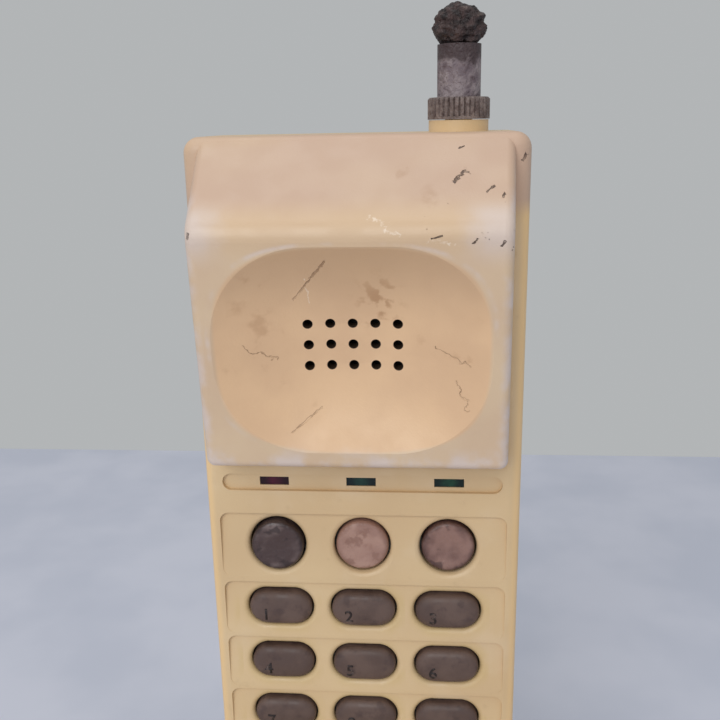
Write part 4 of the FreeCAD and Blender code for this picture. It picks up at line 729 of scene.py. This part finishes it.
# ---------------------------------------------------------------- battery
# Three cells in a shrunk plastic sleeve, bare metal at both ends, pressed between nickel-plated
# plates that join them.
cell_low, cell_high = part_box("battery_cells")
CELL_LOW_Z, CELL_HIGH_Z = cell_low.z / MM, cell_high.z / MM
SLEEVE_INSET = 2.6
cell_paint = Paint("cell_sleeve")
bare_low = cell_paint.ramp(cell_paint.z, CELL_LOW_Z + SLEEVE_INSET, CELL_LOW_Z + SLEEVE_INSET - 0.3)
bare = bare_low | cell_paint.ramp(cell_paint.z, CELL_HIGH_Z - SLEEVE_INSET, CELL_HIGH_Z - SLEEVE_INSET + 0.3)
sleeve_tint = cell_paint.mix(shade(0.13, 0.34, 0.24), shade(0.16, 0.39, 0.28), cell_paint.cloud(8, 3))
stripe = cell_paint.ramp(abs(cell_paint.z - (CELL_HIGH_Z - 10)), 2.6, 2.4)
sleeve_tint = cell_paint.mix(sleeve_tint, shade(0.80, 0.79, 0.73), stripe)
cell_metal = cell_paint.mix(shade(0.66, 0.66, 0.66), shade(0.52, 0.51, 0.49), cell_paint.cloud(1.5, 4))
cell_paint.wire("Base Color", cell_paint.mix(sleeve_tint, cell_metal, bare))
cell_paint.wire("Metallic", bare)
cell_paint.wire("Roughness", cell_paint.cloud(3, 3) * 0.15 + 0.25)
cell_paint.relief(cell_paint.cloud(4, 4), 0.06)
coat(["battery_cells"], cell_paint)
plate_paint = Paint("nickel_plate", Metallic=1.0)
nickel_tint = plate_paint.mix(shade(0.70, 0.68, 0.63), shade(0.56, 0.53, 0.47), plate_paint.cloud(2, 5))
plate_paint.wire("Base Color", nickel_tint)
plate_paint.wire("Roughness", plate_paint.cloud(1.5, 3) * 0.25 + 0.25)
coat(["battery_contacts"], plate_paint)

# ---------------------------------------------------------------- brass pieces
# The bush and stud of the antenna, the handset's two charging lands, the base's pins and strips and
# the line socket's wires: turned or pressed brass, dulled and spotted by hands and damp.
brass_paint = Paint("dull_brass", Metallic=1.0)
brass_tint = brass_paint.mix(shade(0.76, 0.61, 0.36), shade(0.64, 0.49, 0.29), brass_paint.cloud(2, 4))
brass_tint = brass_paint.mix(brass_tint, shade(0.34, 0.25, 0.16), brass_paint.cloud(0.9, 5, 0.6, 0.72) * 0.6)
brass_paint.wire("Base Color", brass_tint)
brass_paint.wire("Roughness", brass_paint.cloud(1.2, 4) * 0.3 + 0.25)
brass_paint.relief(brass_paint.cloud(0.4, 2), 0.01)
coat(["antenna_bush", "antenna_stud", "handset_charge_contacts", "charge_pin_left", "charge_pin_right",
      "charge_strips", "line_socket_wires"], brass_paint)

# ---------------------------------------------------------------- screws
# Zinc-plated self-tapping screws: four close the handset from behind and four the base from below.
# A little rust has come through the plating.
THREAD_PITCH = 0.9
screw_paint = Paint("zinc_plate", Metallic=1.0)
screw_tint = screw_paint.mix(shade(0.64, 0.64, 0.63), shade(0.74, 0.74, 0.74), screw_paint.cloud(1, 4))
rust = screw_paint.cloud(0.8, 5, 0.66, 0.76)
screw_paint.wire("Base Color", screw_paint.mix(screw_tint, shade(0.40, 0.27, 0.18), rust))
screw_paint.wire("Roughness", screw_paint.cloud(0.8, 3) * 0.3 + 0.25)
across_thread = abs(screw_paint.z % THREAD_PITCH - THREAD_PITCH / 2)
screw_paint.relief(screw_paint.ramp(across_thread, 0.2, 0.4), 0.05)
coat(["handset_screws", "base_screws"], screw_paint)

# ---------------------------------------------------------------- handset antenna stub
# A fluted collar screwed down on the cream boss, the scuffed grey core above it, and what is left
# of the rubber sleeve: a burnt-looking lump, torn open and swollen over the core's end.
LUMP_TURNS, LUMP_RINGS = 144, 90
LUMP_OVERLAP, LUMP_DROP = 0.5 * MM, 0.3 * MM
SWELLINGS = ((2.4, 0.24), (5.2, 0.30), (10.5, 0.22), (23.0, 0.08))
SWELLING_WAVES, SWELLING_SEED = 6, 11
NECK_DEPTH, NECK_RISE, NECK_SPREAD = 0.12, 0.15, 0.14
CORE_END_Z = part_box("antenna_core")[1].z / MM
collar_paint = Paint("collar_grey")
collar_tint = collar_paint.mix(shade(0.40, 0.345, 0.33), shade(0.50, 0.44, 0.42), collar_paint.cloud(2, 3))
collar_dirt = collar_paint.cloud(0.8, 4, 0.5, 0.65) * 0.6
collar_tint = collar_paint.mix(collar_tint, shade(0.28, 0.20, 0.19), collar_dirt)
collar_paint.wire("Base Color", collar_tint)
collar_paint.wire("Roughness", collar_paint.cloud(1.5, 3) * 0.25 + 0.45)
collar_paint.relief(collar_paint.cloud(0.4, 4), 0.08)
coat(["antenna_collar"], collar_paint)

core_paint = Paint("core_grey")
core_tint = core_paint.mix(shade(0.42, 0.365, 0.385), shade(0.58, 0.53, 0.535), core_paint.cloud(2.4, 3))
core_tint = core_paint.mix(core_tint, shade(0.27, 0.19, 0.20), core_paint.cloud(1.4, 5, 0.54, 0.7) * 0.5)
scorch_line = core_paint.z + core_paint.cloud(2.5, 4, 0.2, 0.8) * 2.4
scorched = core_paint.ramp(scorch_line, CORE_END_Z - 2.6, CORE_END_Z - 1.0)
core_tint = core_paint.mix(core_tint, shade(0.22, 0.155, 0.16), scorched * 0.9)
core_paint.wire("Base Color", core_tint)
core_paint.wire("Roughness", core_paint.cloud(1.2, 3) * 0.3 + 0.45)
core_paint.relief(core_paint.cloud(0.7, 4), 0.15)
coat(["antenna_core"], core_paint)

torn_paint = Paint("torn_rubber")
torn_tint = torn_paint.mix(shade(0.13, 0.09, 0.09), shade(0.28, 0.21, 0.20), torn_paint.cloud(1.5, 4))
torn_tint = torn_paint.mix(torn_tint, shade(0.47, 0.40, 0.37), torn_paint.cloud(1.3, 4, 0.60, 0.74) * 0.7)
torn_paint.wire("Base Color", torn_tint)
torn_paint.wire("Roughness", torn_paint.cloud(0.8, 3) * 0.35 + 0.38)
torn_paint.relief(torn_paint.cloud(0.45, 3), 0.15)


def lumps(direction, swellings, seed):
    """Uneven swelling in a direction: plane waves folded at zero, with seeded headings, mean 0."""
    rng = np.random.default_rng(seed)
    total = np.zeros(direction.shape[:2])
    for pitch, weight in swellings:
        heading = rng.normal(size=(SWELLING_WAVES, 3))
        heading /= np.linalg.norm(heading, axis=1, keepdims=True)
        phase = rng.uniform(0, 2 * math.pi, SWELLING_WAVES)
        total += weight * np.abs(np.sin(pitch * (direction @ heading.T) + phase)).mean(axis=-1)
    return total - total.mean()


def torn_lump(name, low, high):
    """A ball stretched to the sleeve's box, swollen by lumps() and drawn in by a bell-shaped neck."""
    around = np.linspace(0, 2 * math.pi, LUMP_TURNS, endpoint=False)
    rise = np.linspace(0, math.pi, LUMP_RINGS)
    ball = np.stack([
        np.sin(rise)[:, None] * np.cos(around),
        np.sin(rise)[:, None] * np.sin(around),
        np.repeat(-np.cos(rise)[:, None], LUMP_TURNS, axis=1),
    ], axis=-1)
    ball[[0, -1], :, :2] = 0
    swollen = 1 + lumps(ball, SWELLINGS, SWELLING_SEED)
    narrow = 1 - NECK_DEPTH * np.exp(-((ball[..., 2] - NECK_RISE) / NECK_SPREAD) ** 2)
    half = (np.array(high) - np.array(low)) / 2 + np.array([0, 0, LUMP_OVERLAP])
    points = ball * swollen[..., None] * half
    points[..., :2] *= narrow[..., None]
    middle = (np.array(low) + np.array(high)) / 2
    return grid_mesh(name, points + middle - np.array([0, 0, LUMP_DROP]), closed_v=True, paint=torn_paint)


torn_sleeve = torn_lump("antenna_torn_sleeve", *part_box("antenna_sleeve"))
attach(torn_sleeve, "handset")
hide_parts("antenna_sleeve")

# ---------------------------------------------------------------- base: top shell
# The base's one-piece ABS top: sloping deck, well, back rest and antenna ledge. It has yellowed
# like the handset; its corners and nose are rubbed pale, and it is painted darker, in patches,
# towards the bottom.
BASE_HALF_WIDTH, BASE_HALF_DEPTH, NOSE_TOP = 50.0, 58.0, 17.0
base_cream, base_tint = aged_cream("aged_cream_base")
to_corner = abs(base_cream.x) - BASE_HALF_WIDTH + (abs(base_cream.y) - BASE_HALF_DEPTH)
to_nose = -1 * base_cream.y - BASE_HALF_DEPTH + (base_cream.z - NOSE_TOP)
near_edge = base_cream.ramp(to_corner, -5.0, -3.4) | base_cream.ramp(to_nose, -3.6, -1.8)
worn_edge = near_edge * base_cream.cloud(6, 4, 0.46, 0.62)
base_tint = base_cream.mix(base_tint, CHALK, worn_edge * 0.4)
# painted darker, in patches, towards the bottom
low_darkening = base_cream.ramp(base_cream.z, 20, 8) * base_cream.cloud(7, 5, 0.45, 0.7)
base_tint = base_cream.mix(base_tint, shade(0.47, 0.40, 0.32), low_darkening * 0.35)
base_cream.wire("Base Color", base_tint)
base_cream.relief(base_cream.grain, 0.35)
coat(["base_top_shell"], base_cream)
for lens_name in ("base_power_lens", "base_charge_lens"):
    tint_lens(lens_name)

# ---------------------------------------------------------------- base: bottom plate and feet
# A dark ABS plate with a sandblasted finish, screwed on from below, on four pressed-in rubber feet
# whose soles are scuffed pale.
plate_black = Paint("bottom_plate_black")
plate_tint = plate_black.mix(shade(0.155, 0.15, 0.15), shade(0.21, 0.20, 0.20), plate_black.cloud(16, 3))
plate_dust = plate_black.cloud(2, 6, 0.62, 0.76) * 0.5
plate_black.wire("Base Color", plate_black.mix(plate_tint, shade(0.40, 0.38, 0.36), plate_dust))
plate_black.wire("Roughness", plate_black.cloud(5, 3) * 0.15 + 0.55)
plate_black.relief(plate_black.cloud(0.6, 2), 0.05)
coat(["base_bottom_plate"], plate_black)
foot_paint = Paint("foot_rubber")
scuffed = foot_paint.ramp(foot_paint.z, 0.4, 0.05) * foot_paint.cloud(2, 4, 0.4, 0.65)
foot_tint = foot_paint.mix(shade(0.11, 0.11, 0.11), shade(0.17, 0.165, 0.16), foot_paint.cloud(2, 3))
foot_paint.wire("Base Color", foot_paint.mix(foot_tint, shade(0.42, 0.40, 0.37), scuffed * 0.6))
foot_paint.wire("Roughness", foot_paint.cloud(2, 3) * 0.1 + 0.75)
foot_paint.relief(foot_paint.cloud(0.7, 3), 0.06)
coat(["base_feet"], foot_paint)

# ---------------------------------------------------------------- base: ringer
# A round black sounder soldered to the board under the deck's slots, with a tarnished brass disc
# in its middle.
ringer_paint = Paint("ringer_disc")
ringer_low, ringer_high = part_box("base_ringer")
ringer_middle = (ringer_low + ringer_high) / 2 / MM
from_middle = ((ringer_paint.x - ringer_middle.x) ** 2 + (ringer_paint.y - ringer_middle.y) ** 2) ** 0.5
hub = ringer_paint.ramp(from_middle, 6.6, 6.3)
black_case = ringer_paint.mix(shade(0.09, 0.09, 0.09), shade(0.14, 0.14, 0.14), ringer_paint.cloud(3, 3))
disc_tint = ringer_paint.mix(shade(0.72, 0.60, 0.36), shade(0.56, 0.44, 0.26), ringer_paint.cloud(2, 4))
ringer_paint.wire("Base Color", ringer_paint.mix(black_case, disc_tint, hub))
ringer_paint.wire("Metallic", hub)
ringer_paint.wire("Roughness", ringer_paint.cloud(2, 3) * 0.2 + 0.35)
coat(["base_ringer"], ringer_paint)

# ---------------------------------------------------------------- base: call button
# One round moulded button on the deck that makes the handset ring. It is a little paler than the
# keys, and darker where fingers have polished it.
call_low, call_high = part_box("base_page_button")
call_paint = Paint("call_button_brown")
call_tint = call_paint.mix(shade(0.385, 0.325, 0.305), shade(0.455, 0.39, 0.365), call_paint.cloud(5, 3))
call_middle = (call_low + call_high) / 2 / MM
call_off = ((call_paint.x - call_middle.x) ** 2 + (call_paint.y - call_middle.y) ** 2) ** 0.5
polished = call_paint.ramp(call_off + call_paint.cloud(3, 3) * 1.5, 5.5, 2.0)
call_paint.wire("Base Color", call_paint.mix(call_tint, shade(0.33, 0.27, 0.255), polished * 0.6))
call_paint.wire("Roughness", 0.5 - polished * 0.25)
call_paint.relief(call_paint.cloud(0.4, 2), 0.015)
coat(["base_page_button"], call_paint)

# ---------------------------------------------------------------- base: sockets
# The line socket is a moulded ivory block and the power socket a black barrel, both soldered to the
# board's edge and looking out through the back wall.
ivory_paint = Paint("socket_ivory")
ivory_tint = ivory_paint.mix(shade(0.72, 0.69, 0.60), shade(0.78, 0.75, 0.66), ivory_paint.cloud(5, 3))
# painted shade: the ivory block is painted darker the further it reaches inside the base
inner_shade = ivory_paint.ramp(ivory_paint.y, BASE_HALF_DEPTH - 2, BASE_HALF_DEPTH - 11)
ivory_paint.wire("Base Color", ivory_paint.mix(ivory_tint, shade(0.45, 0.41, 0.35), inner_shade * 0.6))
ivory_paint.wire("Roughness", ivory_paint.cloud(3, 3) * 0.15 + 0.4)
ivory_paint.relief(ivory_paint.cloud(0.7, 2), 0.03)
coat(["line_socket"], ivory_paint)
barrel_paint = Paint("socket_black")
barrel_tint = barrel_paint.mix(shade(0.08, 0.08, 0.08), shade(0.14, 0.135, 0.13), barrel_paint.cloud(2, 4))
barrel_paint.wire("Base Color", barrel_tint)
barrel_paint.wire("Roughness", barrel_paint.cloud(2, 3) * 0.2 + 0.35)
barrel_paint.relief(barrel_paint.cloud(0.6, 2), 0.03)
coat(["power_socket"], barrel_paint)

# ---------------------------------------------------------------- base: charging springs
# Two little compression springs of bright steel wire that hold the charging pins up in the well and
# shorten as the pins go down.
SPRING_TURNS, WIRE_SIZE, WIRE_SEGMENTS, STEPS_PER_TURN = 4, 0.2 * MM, 10, 24
spring_steel = Paint("spring_steel", Metallic=1.0)
steel_tint = spring_steel.mix(shade(0.66, 0.66, 0.67), shade(0.78, 0.78, 0.78), spring_steel.cloud(0.6, 3))
spring_steel.wire("Base Color", steel_tint)
spring_steel.wire("Roughness", spring_steel.cloud(0.5, 3) * 0.2 + 0.2)


def coil(name, low, high):
    """A helix of round wire inside a box: the wire's ring is swept round with the turn's own radial
    direction and +Z, and shrinks to a point at both ends."""
    middle = (np.array(low) + np.array(high)) / 2
    coil_radius = (high.x - low.x) / 2 - WIRE_SIZE / 2
    turn_angle = np.linspace(0, 2 * math.pi * SPRING_TURNS, int(SPRING_TURNS * STEPS_PER_TURN))
    turn_angle = np.concatenate([turn_angle[:1], turn_angle, turn_angle[-1:]])
    wire_radius = np.full(len(turn_angle), WIRE_SIZE / 2)
    wire_radius[[0, -1]] = 0
    lift = np.linspace(low.z + WIRE_SIZE / 2, high.z - WIRE_SIZE / 2, len(turn_angle))
    ring = np.linspace(0, 2 * math.pi, WIRE_SEGMENTS, endpoint=False)
    out = coil_radius + wire_radius[:, None] * np.cos(ring)
    points = np.stack([
        middle[0] + out * np.cos(turn_angle)[:, None],
        middle[1] + out * np.sin(turn_angle)[:, None],
        lift[:, None] + wire_radius[:, None] * np.sin(ring),
    ], axis=-1)
    return grid_mesh(name, points, closed_v=True, paint=spring_steel)


for side in ("left", "right"):
    foot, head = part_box(f"charge_spring_{side}")
    spring = coil(f"charge_coil_{side}", foot, head)
    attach(spring, "base")
    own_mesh(spring)
    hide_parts(f"charge_spring_{side}")

# ---------------------------------------------------------------- base: antenna
# A steel bracket riveted to the ledge and three plated brass tubes that slide in one another, with a
# black knob on the innermost. The plating is finely scratched along the tubes.
KNOB_LENGTH = 6.5
KNOB_END_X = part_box("base_antenna_upper")[0].x / MM + KNOB_LENGTH
tube_paint = Paint("plated_tube")
scratch = tube_paint.cloud(0.5, 4, 0.45, 0.7, stretch=(0.06, 1, 1))
tube_tint = tube_paint.mix(shade(0.76, 0.76, 0.76), shade(0.62, 0.62, 0.61), scratch)
knob = tube_paint.ramp(tube_paint.x, KNOB_END_X, KNOB_END_X - 0.3)
knob_tint = tube_paint.mix(shade(0.08, 0.08, 0.08), shade(0.15, 0.14, 0.14), tube_paint.cloud(1.5, 3))
tube_paint.wire("Base Color", tube_paint.mix(tube_tint, knob_tint, knob))
tube_paint.wire("Metallic", 1 - knob)
tube_paint.wire("Roughness", scratch * 0.18 + knob * 0.25 + 0.14)
tube_paint.relief(scratch, 0.008)
coat(["base_antenna_lower", "base_antenna_middle", "base_antenna_upper"], tube_paint)
bracket_paint = Paint("bracket_steel", Metallic=1.0)
bracket_tint = bracket_paint.mix(shade(0.60, 0.60, 0.60), shade(0.70, 0.70, 0.69), bracket_paint.cloud(2, 4))
bracket_paint.wire("Base Color", bracket_tint)
bracket_paint.wire("Roughness", bracket_paint.cloud(1.5, 4) * 0.25 + 0.3)
bracket_paint.relief(bracket_paint.cloud(0.4, 2), 0.01)
coat(["base_antenna_bracket"], bracket_paint)
